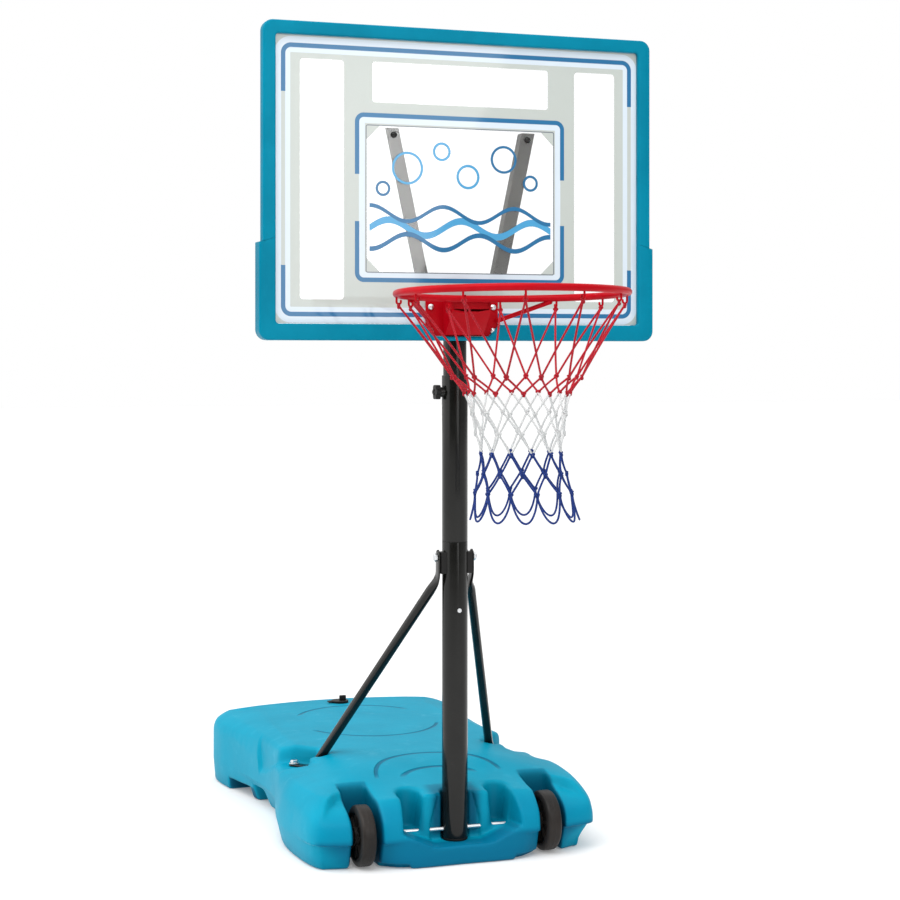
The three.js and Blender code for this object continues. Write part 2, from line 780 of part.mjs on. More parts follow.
function heightKnob() {
  const points = [];
  const steps = knobLobes * 6;
  for (let step = 0; step < steps; step += 1) {
    const angle = (step / steps) * Math.PI * 2;
    const radius = knobRadius * (1 - knobLobeShare + knobLobeShare * Math.cos(angle * knobLobes));
    points.push([radius * Math.cos(angle), knobZ + radius * Math.sin(angle)]);
  }
  const inside = -poleRadius - knobBossLength - seatGap;
  const head = alongX(outline(points), inside - knobLength, inside);
  const tip = -upperPoleRadius - seatGap;
  return join(head, rodX(inside - knobLength / 2, tip, 0, knobZ, knobStemRadius, 12));
}

// Struts: round tube with a flat top against the saddle and a flat foot in the pocket.
function strutSections(side) {
  const knee = strutKnee.clone().setX(side * strutKnee.x);
  const bend = strutBend.clone().setX(side * strutBend.x);
  const foot = vec(side * strutFootX, strutFootY, footFlatZ);
  const flatTop = vec(side * strutTopX, 0, strutFlatTopZ);
  const flatEnd = vec(side * strutTopX, 0, strutBoltZ - saddleDrop);
  const down = vec(0, 0, -1);
  const along = knee.clone().sub(bend).normalize();
  const footWay = foot.clone().sub(vec(knee.x, knee.y, footFlatZ)).normalize();
  const tubeTop = bend.clone().addScaledVector(along, strutFlatWidth / 2);
  const tubeEnd = knee.clone().addScaledVector(along, -strutFlatWidth / 2);
  const footStart = vec(knee.x, knee.y, footFlatZ).addScaledVector(footWay, strutFlatWidth / 2);
  const footEnd = foot.clone().addScaledVector(footWay, strutFlatWidth / 2);
  const normal = vec(side, 0, 0);
  const thin = strutFlat / 2;
  const wide = strutFlatWidth / 2;
  const section = (at, way, a, b) => ({ at, way, normal, a, b });
  return {
    whole: [
      section(flatTop, down, thin, wide),
      section(flatEnd, down, thin, wide),
      section(tubeTop, along, strutRadius, strutRadius),
      section(tubeEnd, along, strutRadius, strutRadius),
      section(footStart, footWay, wide, thin),
      section(footEnd, footWay, wide, thin),
    ],
    bore: [
      section(tubeTop.clone().addScaledVector(along, strutFlatWidth), along, strutBore, strutBore),
      section(tubeEnd.clone().addScaledVector(along, -strutFlatWidth), along, strutBore, strutBore),
    ],
  };
}

// One ring of a swept piece: an ellipse of half sizes a and b, square to the way it runs.
function sectionRing(section, sides) {
  const v = section.way.clone().cross(section.normal).normalize();
  const u = v.clone().cross(section.way).normalize();
  const ring = [];
  for (let step = 0; step < sides; step += 1) {
    const angle = ((step + 1 / 2) / sides) * Math.PI * 2;
    const p = section.at.clone();
    p.addScaledVector(u, section.a * Math.cos(angle));
    p.addScaledVector(v, section.b * Math.sin(angle));
    ring.push(p);
  }
  return ring;
}

function strut(side) {
  const { whole, bore } = strutSections(side);
  const body = loft(whole.map((section) => sectionRing(section, 12)));
  const hollow = loft(bore.map((section) => sectionRing(section, 12)));
  const drain = bore[1].at;
  return cut(
    body,
    hollow,
    rodZ(drain.x, drain.y, drain.z - strutRadius * 2, drain.z, strutDrainRadius, 8),
    rodX(0, side * strutTopX * 2, 0, strutBoltZ, boltRadius + seatGap, 12),
    rodZ(side * strutFootX, strutFootY, 0, baseHeight, boltRadius + seatGap, 12),
  );
}

function saddle(side) {
  const top = strutBoltZ - saddleDrop + saddleHeight;
  const ends = [side * poleRadius / 2, side * saddleOuterX].sort((a, b) => a - b);
  return cut(
    block(...ends, -saddleWidth / 2, saddleWidth / 2, top - saddleHeight, top),
    rodZ(0, 0, top - saddleHeight - overrun, top + overrun, poleRadius + seatGap, poleSides),
    rodX(-saddleOuterX * 2, saddleOuterX * 2, 0, strutBoltZ, boltRadius + seatGap, 12),
  );
}

// A hexagon-headed bolt and a hexagon nut along X or Z.
const strutOuterX = strutTopX + strutFlat / 2 + seatGap;

function strutTopBolt() {
  const head = rodX(-strutOuterX - boltHeadHeight, -strutOuterX, 0, strutBoltZ, boltHeadRadius, 6);
  const end = strutOuterX + boltHeadHeight + overrun;
  return join(head, rodX(-strutOuterX - seatGap, end, 0, strutBoltZ, boltRadius, 12));
}

function nutX(x0, y, z) {
  return tubeX(x0, x0 + boltHeadHeight, y, z, boltHeadRadius, boltRadius + seatGap, 6);
}

const footWasherZ = footFlatZ + strutFlat / 2 + seatGap;
const footHeadZ = footWasherZ + washerThick + seatGap;

function footBolt(side) {
  const x = side * strutFootX;
  const head = rodZ(x, strutFootY, footHeadZ, footHeadZ + boltHeadHeight, boltHeadRadius, 6);
  const end = pocketFloorZ - insertDepth + overrun;
  return join(head, rodZ(x, strutFootY, end, footHeadZ + seatGap, boltRadius, 12));
}

function ringZ(x, y, z0, z1, outer, inner, sides) {
  return cut(rodZ(x, y, z0, z1, outer, sides), rodZ(x, y, z0 - overrun, z1 + overrun, inner, sides));
}

const footWasher = (side) => ringZ(
  side * strutFootX, strutFootY, footWasherZ, footWasherZ + washerThick,
  washerRadius, boltRadius + seatGap, 12,
);
const footInsert = (side) => ringZ(
  side * strutFootX, strutFootY, pocketFloorZ - insertDepth, pocketFloorZ,
  insertRadius, boltRadius + seatGap, 12,
);

// Holes that the six board bolts pass through, from front to back.
const barTopBoltZ = barTopZ - barTopBoltDrop;
const barXAt = (z) => barBottomX + ((barTopX - barBottomX) * (z - barBottomZ)) / (barTopZ - barBottomZ);
const rimBoltPlaces = [-1, 1].flatMap((side) =>
  [rimBoltLowZ, rimBoltHighZ].map((z) => ({ x: side * rimBoltX, z })));
const barBoltPlaces = [-1, 1].map((side) => ({ x: side * barXAt(barTopBoltZ), z: barTopBoltZ }));
const boltHole = ({ x, z }) => rodY(x, boardFrontY * 2, 0, z, smallBoltRadius + seatGap, 10);

function backboardPanel() {
  const edge = frameInner + frameGrooveDepth - seatGap;
  const bottom = boardBottomZ + frameBottomBand - frameGrooveDepth + seatGap;
  const top = boardTopZ - frameBand + frameGrooveDepth - seatGap;
  const corner = Array(4).fill(panelCorner);
  const sheet = alongY(roundedRectangle(-edge, edge, bottom, top, corner), panelFrontY, panelBackY);
  const tongue = block(
    -rimPlateHalfWidth, rimPlateHalfWidth, panelFrontY, panelBackY, rimPlateBottomZ, rimPlateTopZ,
  );
  return cut(join(sheet, tongue), ...[...rimBoltPlaces, ...barBoltPlaces].map(boltHole));
}

function backboardFrame() {
  const corner = Array(4).fill(boardCorner);
  const outer = alongY(
    roundedRectangle(-boardHalfWidth, boardHalfWidth, boardBottomZ, boardTopZ, corner),
    boardFrontY, boardBackY,
  );
  const padBack = boardFrontY + padDepth;
  const pad = cut(
    alongY(
      roundedRectangle(
        -padHalfWidth, padHalfWidth, boardBottomZ, padTopZ, [boardCorner, boardCorner, padCorner, padCorner],
      ),
      boardFrontY, padBack,
    ),
    block(-padPoleGap, padPoleGap, boardBackY, padBack + overrun, boardBottomZ - overrun, padTopZ),
  );
  const innerBottom = boardBottomZ + frameBottomBand;
  const innerTop = boardTopZ - frameBand;
  const inner = Array(4).fill(panelCorner / 2);
  const window = alongY(
    roundedRectangle(-frameInner, frameInner, innerBottom, innerTop, inner),
    boardFrontY - overrun, padBack + overrun,
  );
  const grooveEdge = frameInner + frameGrooveDepth;
  const groove = alongY(
    roundedRectangle(
      -grooveEdge, grooveEdge, innerBottom - frameGrooveDepth, innerTop + frameGrooveDepth,
      Array(4).fill(panelCorner),
    ),
    panelFrontY - seatGap, panelBackY + seatGap,
  );
  const notch = block(
    -rimPlateHalfWidth - seatGap, rimPlateHalfWidth + seatGap, boardFrontY - overrun, padBack,
    rimPlateBottomZ - seatGap, rimPlateTopZ,
  );
  return cut(join(outer, pad), window, groove, notch);
}

// An angle bar: a flange flat on the panel and a web on its inner edge that runs back.
function bar(side) {
  const half = barWidth / 2;
  const leg = (near, far, y0, y1) => loft([barBottomZ, barTopZ].map((z) => {
    const x = side * barXAt(z);
    const a = Math.min(x + side * near, x + side * far);
    const b = Math.max(x + side * near, x + side * far);
    return [vec(a, y0, z), vec(b, y0, z), vec(b, y1, z), vec(a, y1, z)];
  }));
  const flange = leg(-half, half, barFrontY, barFrontY + barThick);
  const web = leg(-half, barThick - half, barFrontY, barFrontY + barWebDepth);
  const headRoom = block(
    -rimPlateHalfWidth - seatGap, rimPlateHalfWidth + seatGap,
    headPlateFrontY - seatGap, barWebDepth, barBottomZ - overrun, headPlateTopZ + seatGap,
  );
  return cut(join(flange, web), headRoom, ...[...rimBoltPlaces, ...barBoltPlaces].map(boltHole));
}

// Bolts that run back from the front face: rim bolts hold the rim, the panel, the bars and the
// head bracket; bar bolts hold the bars' upper ends to the panel.
function boardBolt({ x, z }, headY, nutY) {
  const head = rodY(x, headY - smallHeadHeight, headY, z, smallHeadRadius, 12);
  const end = nutY + smallNutHeight + seatGap;
  return join(head, rodY(x, headY - seatGap, end, z, smallBoltRadius, 10));
}

function boardNut({ x, z }, nutY) {
  return cut(
    rodY(x, nutY, nutY + smallNutHeight, z, smallHeadRadius, 6),
    rodY(x, nutY - overrun, nutY + smallNutHeight + overrun, z, smallBoltRadius + seatGap, 10),
  );
}

function headBracket() {
  const plate = block(
    -rimPlateHalfWidth, rimPlateHalfWidth, headPlateFrontY, headPlateBackY, headPlateBottomZ, headPlateTopZ,
  );
  const cheekX = upperPoleRadius + seatGap;
  const cheeks = [-1, 1].map((side) => block(
    ...[side * cheekX, side * (cheekX + headCheekThick)].sort((a, b) => a - b),
    headPlateFrontY + seatGap, headCheekBack, headCheekBottomZ, headPlateTopZ,
  ));
  const across = [headBoltLowZ, headBoltHighZ].map((z) =>
    rodX(-poleRadius * 2, poleRadius * 2, 0, z, boltRadius + seatGap, 12));
  return cut(join(plate, ...cheeks), ...rimBoltPlaces.map(boltHole), ...across);
}

const headOuterX = upperPoleRadius + seatGap + headCheekThick + seatGap;

function headBolt(z) {
  const head = rodX(-headOuterX - boltHeadHeight, -headOuterX, 0, z, boltHeadRadius, 6);
  const end = headOuterX + boltHeadHeight + overrun;
  return join(head, rodX(-headOuterX - seatGap, end, 0, z, boltRadius, 12));
}

// Rim bracket: a back plate on the panel and a folded sheet box under its front.
const rimBackY = rimY + rimRadius;

function rimBracket() {
  const plate = alongY(
    roundedRectangle(
      -rimPlateHalfWidth, rimPlateHalfWidth, rimPlateBottomZ, rimPlateTopZ,
      [smallHeadRadius, smallHeadRadius, overrun, overrun],
    ),
    rimPlateFrontY, rimPlateBackY,
  );
  const reachY = rimBackY - rimTube;
  const lipZ = rimPlateTopZ - rimBoxLipDrop;
  const lowZ = rimPlateBottomZ + overrun;
  const side = outline([
    [reachY, lipZ], [rimPlateFrontY - rimBoxLipDrop, lowZ], [rimPlateFrontY + seatGap, lowZ],
    [rimPlateFrontY + seatGap, rimPlateTopZ], [reachY, rimPlateTopZ],
  ]);
  const room = outline([
    [reachY - overrun, lipZ - overrun], [reachY + rimBoxSheet, lipZ + rimBoxSheet / 2],
    [rimPlateFrontY - rimBoxLipDrop + rimBoxSheet, lowZ - overrun], [rimPlateFrontY, lowZ - overrun],
    [rimPlateFrontY, rimPlateTopZ - rimBoxSheet], [reachY + rimBoxSheet, rimPlateTopZ - rimBoxSheet],
  ]);
  const inner = rimBoxHalfWidth - rimBoxSheet;
  const box = cut(alongX(side, -rimBoxHalfWidth, rimBoxHalfWidth), alongX(room, -inner, inner));
  const sweep = rodZ(
    0, rimY, rimPlateBottomZ - rimTube, rimPlateTopZ + rimTube, rimRadius + rimTube + seatGap, rimSides,
  );
  return cut(join(plate, box), sweep, ...rimBoltPlaces.map(boltHole));
}

const tilt = (solid) => solid
  .translate([0, -rimY, -rimZ])
  .rotate([-THREE.MathUtils.radToDeg(rimTilt), 0, 0])
  .translate([0, rimY, rimZ]);

const around = (angle, radius, z) => vec(radius * Math.cos(angle), rimY + radius * Math.sin(angle), z);

// The rim's ring with its net hooks: each hook drops from the ring, turns in and comes up.
function netHook(angle) {
  const low = rimZ - rimTube - hookDrop;
  const side = vec(-Math.sin(angle), Math.cos(angle), 0);
  const inward = vec(-Math.cos(angle), -Math.sin(angle), 0);
  const down = vec(0, 0, -1);
  const up = vec(0, 0, 1);
  const stations = [
    [around(angle, rimRadius, rimZ - rimTube / 2), down],
    [around(angle, rimRadius, low), down.clone().add(inward).normalize()],
    [around(angle, rimRadius - hookReach, low), inward.clone().add(up).normalize()],
    [around(angle, rimRadius - hookReach, low + hookDrop / 2), up],
  ];
  const rings = stations.map(([at, way]) =>
    sectionRing({ at, way, normal: side, a: hookWire, b: hookWire }, 4));
  return loft(rings);
}

function rimRing() {
  const torus = new THREE.TorusGeometry(rimRadius, rimTube, rimTubeSides, rimSides);
  const ring = solidOf(torus.translate(0, rimY, rimZ));
  const hooks = Array.from({ length: netLoops }, (_, k) => netHook(((k + 1 / 2) / netLoops) * Math.PI * 2));
  return tilt(join(ring, ...hooks));
}

function rimClearance() {
  const torus = new THREE.TorusGeometry(rimRadius, rimTube + seatGap, rimTubeSides, rimSides);
  return tilt(solidOf(torus.translate(0, rimY, rimZ)));
}

function rimBrace(side) {
  const wall = vec(side * braceWallX, rimPlateFrontY - seatGap - braceRadius, braceWallZ);
  const ring = around(side > 0 ? braceAngle : Math.PI - braceAngle, rimRadius, rimZ - rimTube);
  const plateRoom = block(
    -boardHalfWidth, boardHalfWidth, rimPlateFrontY - seatGap, 0, boardBottomZ, boardTopZ,
  );
  const start = wall.clone().addScaledVector(ring.clone().sub(wall).normalize(), -braceRadius * 3);
  return cut(rod(start, ring, braceRadius, 8), plateRoom, rimClearance());
}

// Net: two families of cords wind down in opposite ways and cross at the knots. A section's
// cords start a lead under the knots of the section above.
function netCordPath(rows, firstRow, lead, start, way) {
  const pointAt = (row) => {
    const [dropShare, radiusShare, windShare] = rows[row];
    const turn = start + windShare + ((firstRow % 2) + way * row + 1) / 2;
    const z = netTopZ - dropShare * netLength;
    const point = around((turn / netLoops) * Math.PI * 2, radiusShare * rimRadius, z);
    point.x += dropShare * netSwing;
    return dropShare === 0 ? point.setZ(point.z + (rimY - point.y) * rimTilt) : point;
  };
  const points = rows.map((_, row) => pointAt(row));
  const first = points[1].clone().sub(points[0]).normalize();
  points[0].addScaledVector(first, lead);
  return points;
}

function netCordSolid(points) {
  const rings = points.map((at, n) => {
    const before = points[Math.max(n - 1, 0)];
    const after = points[Math.min(n + 1, points.length - 1)];
    const way = after.clone().sub(before).normalize();
    const swing = ((netTopZ - at.z) / netLength) * netSwing;
    const normal = vec(at.x - swing, at.y - rimY, 0).normalize();
    return sectionRing({ at, way, normal, a: netCord, b: netCord }, netCordSides);
  });
  return loft(rings);
}

function netSection(rows, firstRow, lead) {
  const pieces = [];
  for (let k = 0; k < netLoops; k += 1) {
    [-1, 1].forEach((way) => pieces.push(netCordSolid(netCordPath(rows, firstRow, lead, k, way))));
    if (firstRow === 0) {
      const loop = netCordPath(rows, firstRow, lead, k, 1)[0];
      pieces.push(solidOf(new THREE.OctahedronGeometry(netKnot, 0).translate(loop.x, loop.y, loop.z)));
    }
  }
  return wasm.Manifold.union(pieces).asOriginal().simplify(netFit);
}

add('base_tank', baseTank(), teal);
add('fill_cap', fillCap(), blackPlastic);
add('cap_seal', capSeal(), rubber);
add('axle_rod', rodX(-axleEndX + seatGap, axleEndX - seatGap, axleY, axleZ, axleRadius, 12), zinc);
[[-1, 'left'], [1, 'right']].forEach(([side, word]) => {
  add(`wheel_${word}`, wheel(side), blackPlastic);
  add(`wheel_spacer_inner_${word}`, wheelSpacer(side, true), blackPlastic);
  add(`wheel_spacer_outer_${word}`, wheelSpacer(side, false), blackPlastic);
  add(`strut_${word}`, strut(side), blackSteel);
  add(`strut_saddle_${word}`, saddle(side), blackPlastic);
  add(`strut_foot_bolt_${word}`, footBolt(side), zinc);
  add(`strut_foot_washer_${word}`, footWasher(side), zinc);
  add(`strut_foot_insert_${word}`, footInsert(side), zinc);
  add(`bar_${word}`, bar(side), greySteel);
  add(`rim_brace_${word}`, rimBrace(side), redSteel);
});
add('pole_foot', poleFoot(), blackPlastic);
add('pole_lower', poleLower(), blackSteel);
add('pole_middle', poleMiddle(), blackSteel);
add('pole_upper', poleUpper(), blackSteel);
add('pole_cap', poleCap(), blackPlastic);
add('snap_button', snapButton(), zinc);
add('knob_boss', knobBoss(), blackSteel);
add('height_knob', heightKnob(), blackPlastic);
add('strut_top_bolt', strutTopBolt(), zinc);
add('strut_top_nut', nutX(strutOuterX, 0, strutBoltZ), zinc);
add('backboard_panel', backboardPanel(), clearSheet);
add('backboard_frame', backboardFrame(), darkTeal);
add('head_bracket', headBracket(), greySteel);
[[headBoltLowZ, 'lower'], [headBoltHighZ, 'upper']].forEach(([z, word]) => {
  add(`head_bolt_${word}`, headBolt(z), zinc);
  add(`head_nut_${word}`, nutX(headOuterX, 0, z), zinc);
});
add('rim_bracket', rimBracket(), redSteel);
add('rim_ring', rimRing(), redSteel);
rimBoltPlaces.forEach((place, k) => {
  add(`rim_bolt_${k + 1}`, boardBolt(place, rimPlateFrontY - seatGap, headPlateBackY + seatGap), zinc);
  add(`rim_nut_${k + 1}`, boardNut(place, headPlateBackY + seatGap), zinc);
});
barBoltPlaces.forEach((place, k) => {
  const nutY = barFrontY + barThick + seatGap;
  add(`bar_bolt_${k + 1}`, boardBolt(place, panelFrontY - seatGap, nutY), blackSteel);
  add(`bar_nut_${k + 1}`, boardNut(place, nutY), zinc);
});
add('net_upper', netSection(netUpperShares, 0, 0), redCord);
add('net_middle', netSection(netMiddleShares, 2, netMiddleLead), whiteCord);
add('net_lower', netSection(netLowerShares, 5, netLowerLead), blueCord);

export default hoop;
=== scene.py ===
# %% [markdown]
# # A poolside basketball hoop
# The hoop stands on a hollow plastic base that holds water or sand. Three steel tubes slide into
# each other to make the pole, two struts hold it up, and a clear board with a red rim and a
# three-colour net hangs in front of it.
# The exact solids come in first as a fixed frame. Each surface drawn later takes the place of
# one or more of them, at the same coordinates, which are written here in millimetres.

# %% The frame of exact solids
import json
import math

import bmesh
import bpy
import numpy as np
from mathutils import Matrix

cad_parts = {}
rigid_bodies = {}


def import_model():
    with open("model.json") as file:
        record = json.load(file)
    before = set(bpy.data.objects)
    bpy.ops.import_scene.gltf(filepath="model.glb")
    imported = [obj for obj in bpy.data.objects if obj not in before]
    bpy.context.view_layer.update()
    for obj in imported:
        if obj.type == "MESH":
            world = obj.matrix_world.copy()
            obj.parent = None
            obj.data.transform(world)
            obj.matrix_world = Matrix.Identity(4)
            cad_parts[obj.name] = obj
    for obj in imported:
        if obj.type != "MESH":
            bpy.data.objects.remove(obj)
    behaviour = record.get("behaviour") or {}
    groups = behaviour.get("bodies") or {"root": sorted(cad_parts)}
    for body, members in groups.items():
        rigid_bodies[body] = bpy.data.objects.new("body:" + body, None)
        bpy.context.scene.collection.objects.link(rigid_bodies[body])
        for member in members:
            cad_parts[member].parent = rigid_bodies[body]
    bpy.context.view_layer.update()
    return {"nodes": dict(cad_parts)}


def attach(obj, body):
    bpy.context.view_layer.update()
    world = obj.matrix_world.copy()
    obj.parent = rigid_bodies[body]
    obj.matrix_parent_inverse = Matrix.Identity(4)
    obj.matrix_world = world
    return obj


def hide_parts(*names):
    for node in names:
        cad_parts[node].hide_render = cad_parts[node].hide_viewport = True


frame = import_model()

MM = 0.001
TURN = 2 * math.pi
SIDES = (("left", -1), ("right", 1))
nodes = frame["nodes"]

# %% [markdown]
# ## Camera
# The photograph was taken a little to the left of the board, level, from the height of the net.
# A level camera keeps upright lines upright, and a small shift does what a tilt would spoil.

# %% Camera
AIM = math.radians(19.5)
# The photograph's side, the eye's distance from its plane and the horizon's row, in pixels.
PHOTO, FOCAL, HORIZON = 900, 1948.468, 356.916
camera = bpy.data.objects.new("camera", bpy.data.cameras.new("camera"))
camera.data.sensor_width = 36
camera.data.lens = camera.data.sensor_width * FOCAL / PHOTO
camera.data.shift_y = -(PHOTO / 2 - HORIZON) / PHOTO
camera.data.clip_end = 60
camera.location = (-1.14145, -3.198148, 0.873149)
camera.rotation_euler = (math.pi / 2, 0, -AIM)
bpy.context.scene.collection.objects.link(camera)
bpy.context.scene.camera = camera
bpy.context.scene.view_settings.view_transform = "Standard"
print("lens", round(camera.data.lens, 1), "mm")

# %% [markdown]
# ## Shader maths
# A material is a small sum over places: how far a point is from a stripe, how rough a speckle
# is. Nodes for such sums are quick to get wrong by hand, so a wire between nodes is wrapped in a
# class that knows plus, minus, times and the rest, and every sign adds its own Math node.

# %% Wires and finishes
class Wire:
    """An output socket that can be used in sums; each sign adds one Math node."""

    def __init__(self, finish, socket):
        self.finish, self.socket = finish, socket

    def math(self, operation, *values):
        """One Math node over these values."""
        return self.finish.node("ShaderNodeMath", {"operation": operation}, dict(enumerate(values)))

    def __add__(self, other): return self.math("ADD", self, other)
    def __radd__(self, other): return self.math("ADD", other, self)
    def __sub__(self, other): return self.math("SUBTRACT", self, other)
    def __rsub__(self, other): return self.math("SUBTRACT", other, self)
    def __mul__(self, other): return self.math("MULTIPLY", self, other)
    def __rmul__(self, other): return self.math("MULTIPLY", other, self)
    def __truediv__(self, other): return self.math("DIVIDE", self, other)
    def __pow__(self, other): return self.math("POWER", self, other)
    def __abs__(self): return self.math("ABSOLUTE", self)
    def above(self, other): return self.math("MAXIMUM", self, other)
    def below(self, other): return self.math("MINIMUM", self, other)
    def root(self): return self.math("SQRT", self)
    def sine(self): return self.math("SINE", self)
    def step(self, low, high): return self.finish.ramp(self, low, high)
    def fade(self, low, high): return 1.0 - self.step(low, high)


class Finish:
    """A material, or a world, made of nodes."""

    def __init__(self, name, kinds=bpy.data.materials):
        self.made = kinds.new(name)
        self.made.use_nodes = True
        self.tree = self.made.node_tree
        self.tree.nodes.clear()

    def node(self, kind, settings=None, sockets=None, out=0):
        """One node from its type, its settings and its sockets, as the wire of one output."""
        made = self.tree.nodes.new(kind)
        for key, value in (settings or {}).items():
            setattr(made, key, value)
        for key, value in (sockets or {}).items():
            if isinstance(value, Wire):
                self.tree.links.new(value.socket, made.inputs[key])
            else:
                made.inputs[key].default_value = value
        return Wire(self, made.outputs[out])

    def ramp(self, value, low, high):
        """0 where the value is under low, 1 over high, and a smooth step between."""
        return self.node(
            "ShaderNodeMapRange", {"interpolation_type": "SMOOTHSTEP"},
            {"Value": value, "From Min": low, "From Max": high, "To Min": 0.0, "To Max": 1.0})

    def here(self, kind="Object"):
        """Where a point lies: on its piece, in metres, or on its UV map, or where a ray goes."""
        return self.node("ShaderNodeTexCoord", out=kind)

    def parts(self, vector):
        """The three parts of a vector."""
        split = self.node("ShaderNodeSeparateXYZ", sockets={0: vector}).socket.node
        return [Wire(self, socket) for socket in split.outputs]

    def noise(self, where, scale, detail=2.0, roughness=0.5):
        """Cloudy noise from 0 to 1, `scale` clouds to a metre, with finer detail laid over."""
        return self.node(
            "ShaderNodeTexNoise", {"noise_dimensions": "3D"},
            {"Vector": where, "Scale": scale, "Detail": detail, "Roughness": roughness}, out="Fac")

    def mix(self, share, first, second):
        """Colour mix: first where the share is 0, second where it is 1."""
        return self.node(
            "ShaderNodeMix", {"data_type": "RGBA"}, {0: share, 6: first, 7: second}, out=2)

    def bump(self, height, distance, strength=1.0, under=None):
        """A normal tilted by a height's slope, over a distance in metres, on another normal."""
        sockets = {"Height": height, "Distance": distance, "Strength": strength}
        if under is not None:
            sockets["Normal"] = under
        return self.node("ShaderNodeBump", sockets=sockets)

    def shade(self, **sockets):
        """Ends the material in one Principled shader with these sockets."""
        named = {key.replace("_", " ").title().replace("Ior", "IOR"): value
                 for key, value in sockets.items()}
        shader = self.node("ShaderNodeBsdfPrincipled", sockets=named)
        end = self.tree.nodes.new("ShaderNodeOutputMaterial")
        self.tree.links.new(shader.socket, end.inputs["Surface"])
        return self.made


def paint(red, green, blue):
    """A colour as a screen shows it, from 0 to 255, turned into the light that it stands for."""
    share = np.array([red, green, blue]) / 255
    linear = np.where(share <= 0.04045, share / 12.92, ((share + 0.055) / 1.055) ** 2.4)
    return (*linear.tolist(), 1.0)


print("paint check, mid grey:", round(paint(128, 128, 128)[0], 3))

# %% [markdown]
# ## Finishes
# **Blow-moulded plastic.** The base is coloured in the mass, so its colour hardly changes, but
# its skin is never quite even: slow clouds of tone, a fine matt grain, and a few polished rubs.
# Slow noise steers the colour, finer noise the roughness, and the finest the bump.

# %% Blow-moulded plastic
def moulded(name, deep, pale, rough, grain=1.0, shine=0.2):
    """Plastic skin: clouds of tone between two colours, a matt grain and soft rubs."""
    made = Finish(name)
    where = made.here()
    clouds = made.noise(where, 9.0, 4.0, 0.55).step(0.3, 0.7)
    grains = made.noise(where, 900.0, 2.0)
    ripples = made.noise(where, 38.0, 2.0)
    rubs = made.noise(where, 26.0, 6.0, 0.7).step(0.52, 0.68)
    skin = made.bump(ripples, 0.0012 * grain, 0.35, made.bump(grains, 0.0002 * grain, 0.5))
    return made.shade(
        base_color=made.mix(clouds * 0.8 + rubs * 0.2, paint(*deep), paint(*pale)),
        roughness=rough + 0.10 * grains - 0.08 * rubs, specular_ior_level=shine, normal=skin)


frame_plastic = moulded("frame_plastic", (0, 112, 138), (1, 124, 151), 0.34, 0.6, 0.05)
black_plastic = moulded("black_plastic", (17, 17, 17), (30, 29, 28), 0.42)
wheel_plastic = moulded("wheel_plastic", (20, 19, 18), (42, 37, 34), 0.36)
seal_rubber = moulded("seal_rubber", (20, 20, 20), (28, 28, 28), 0.72)
print("moulded finishes: 4")
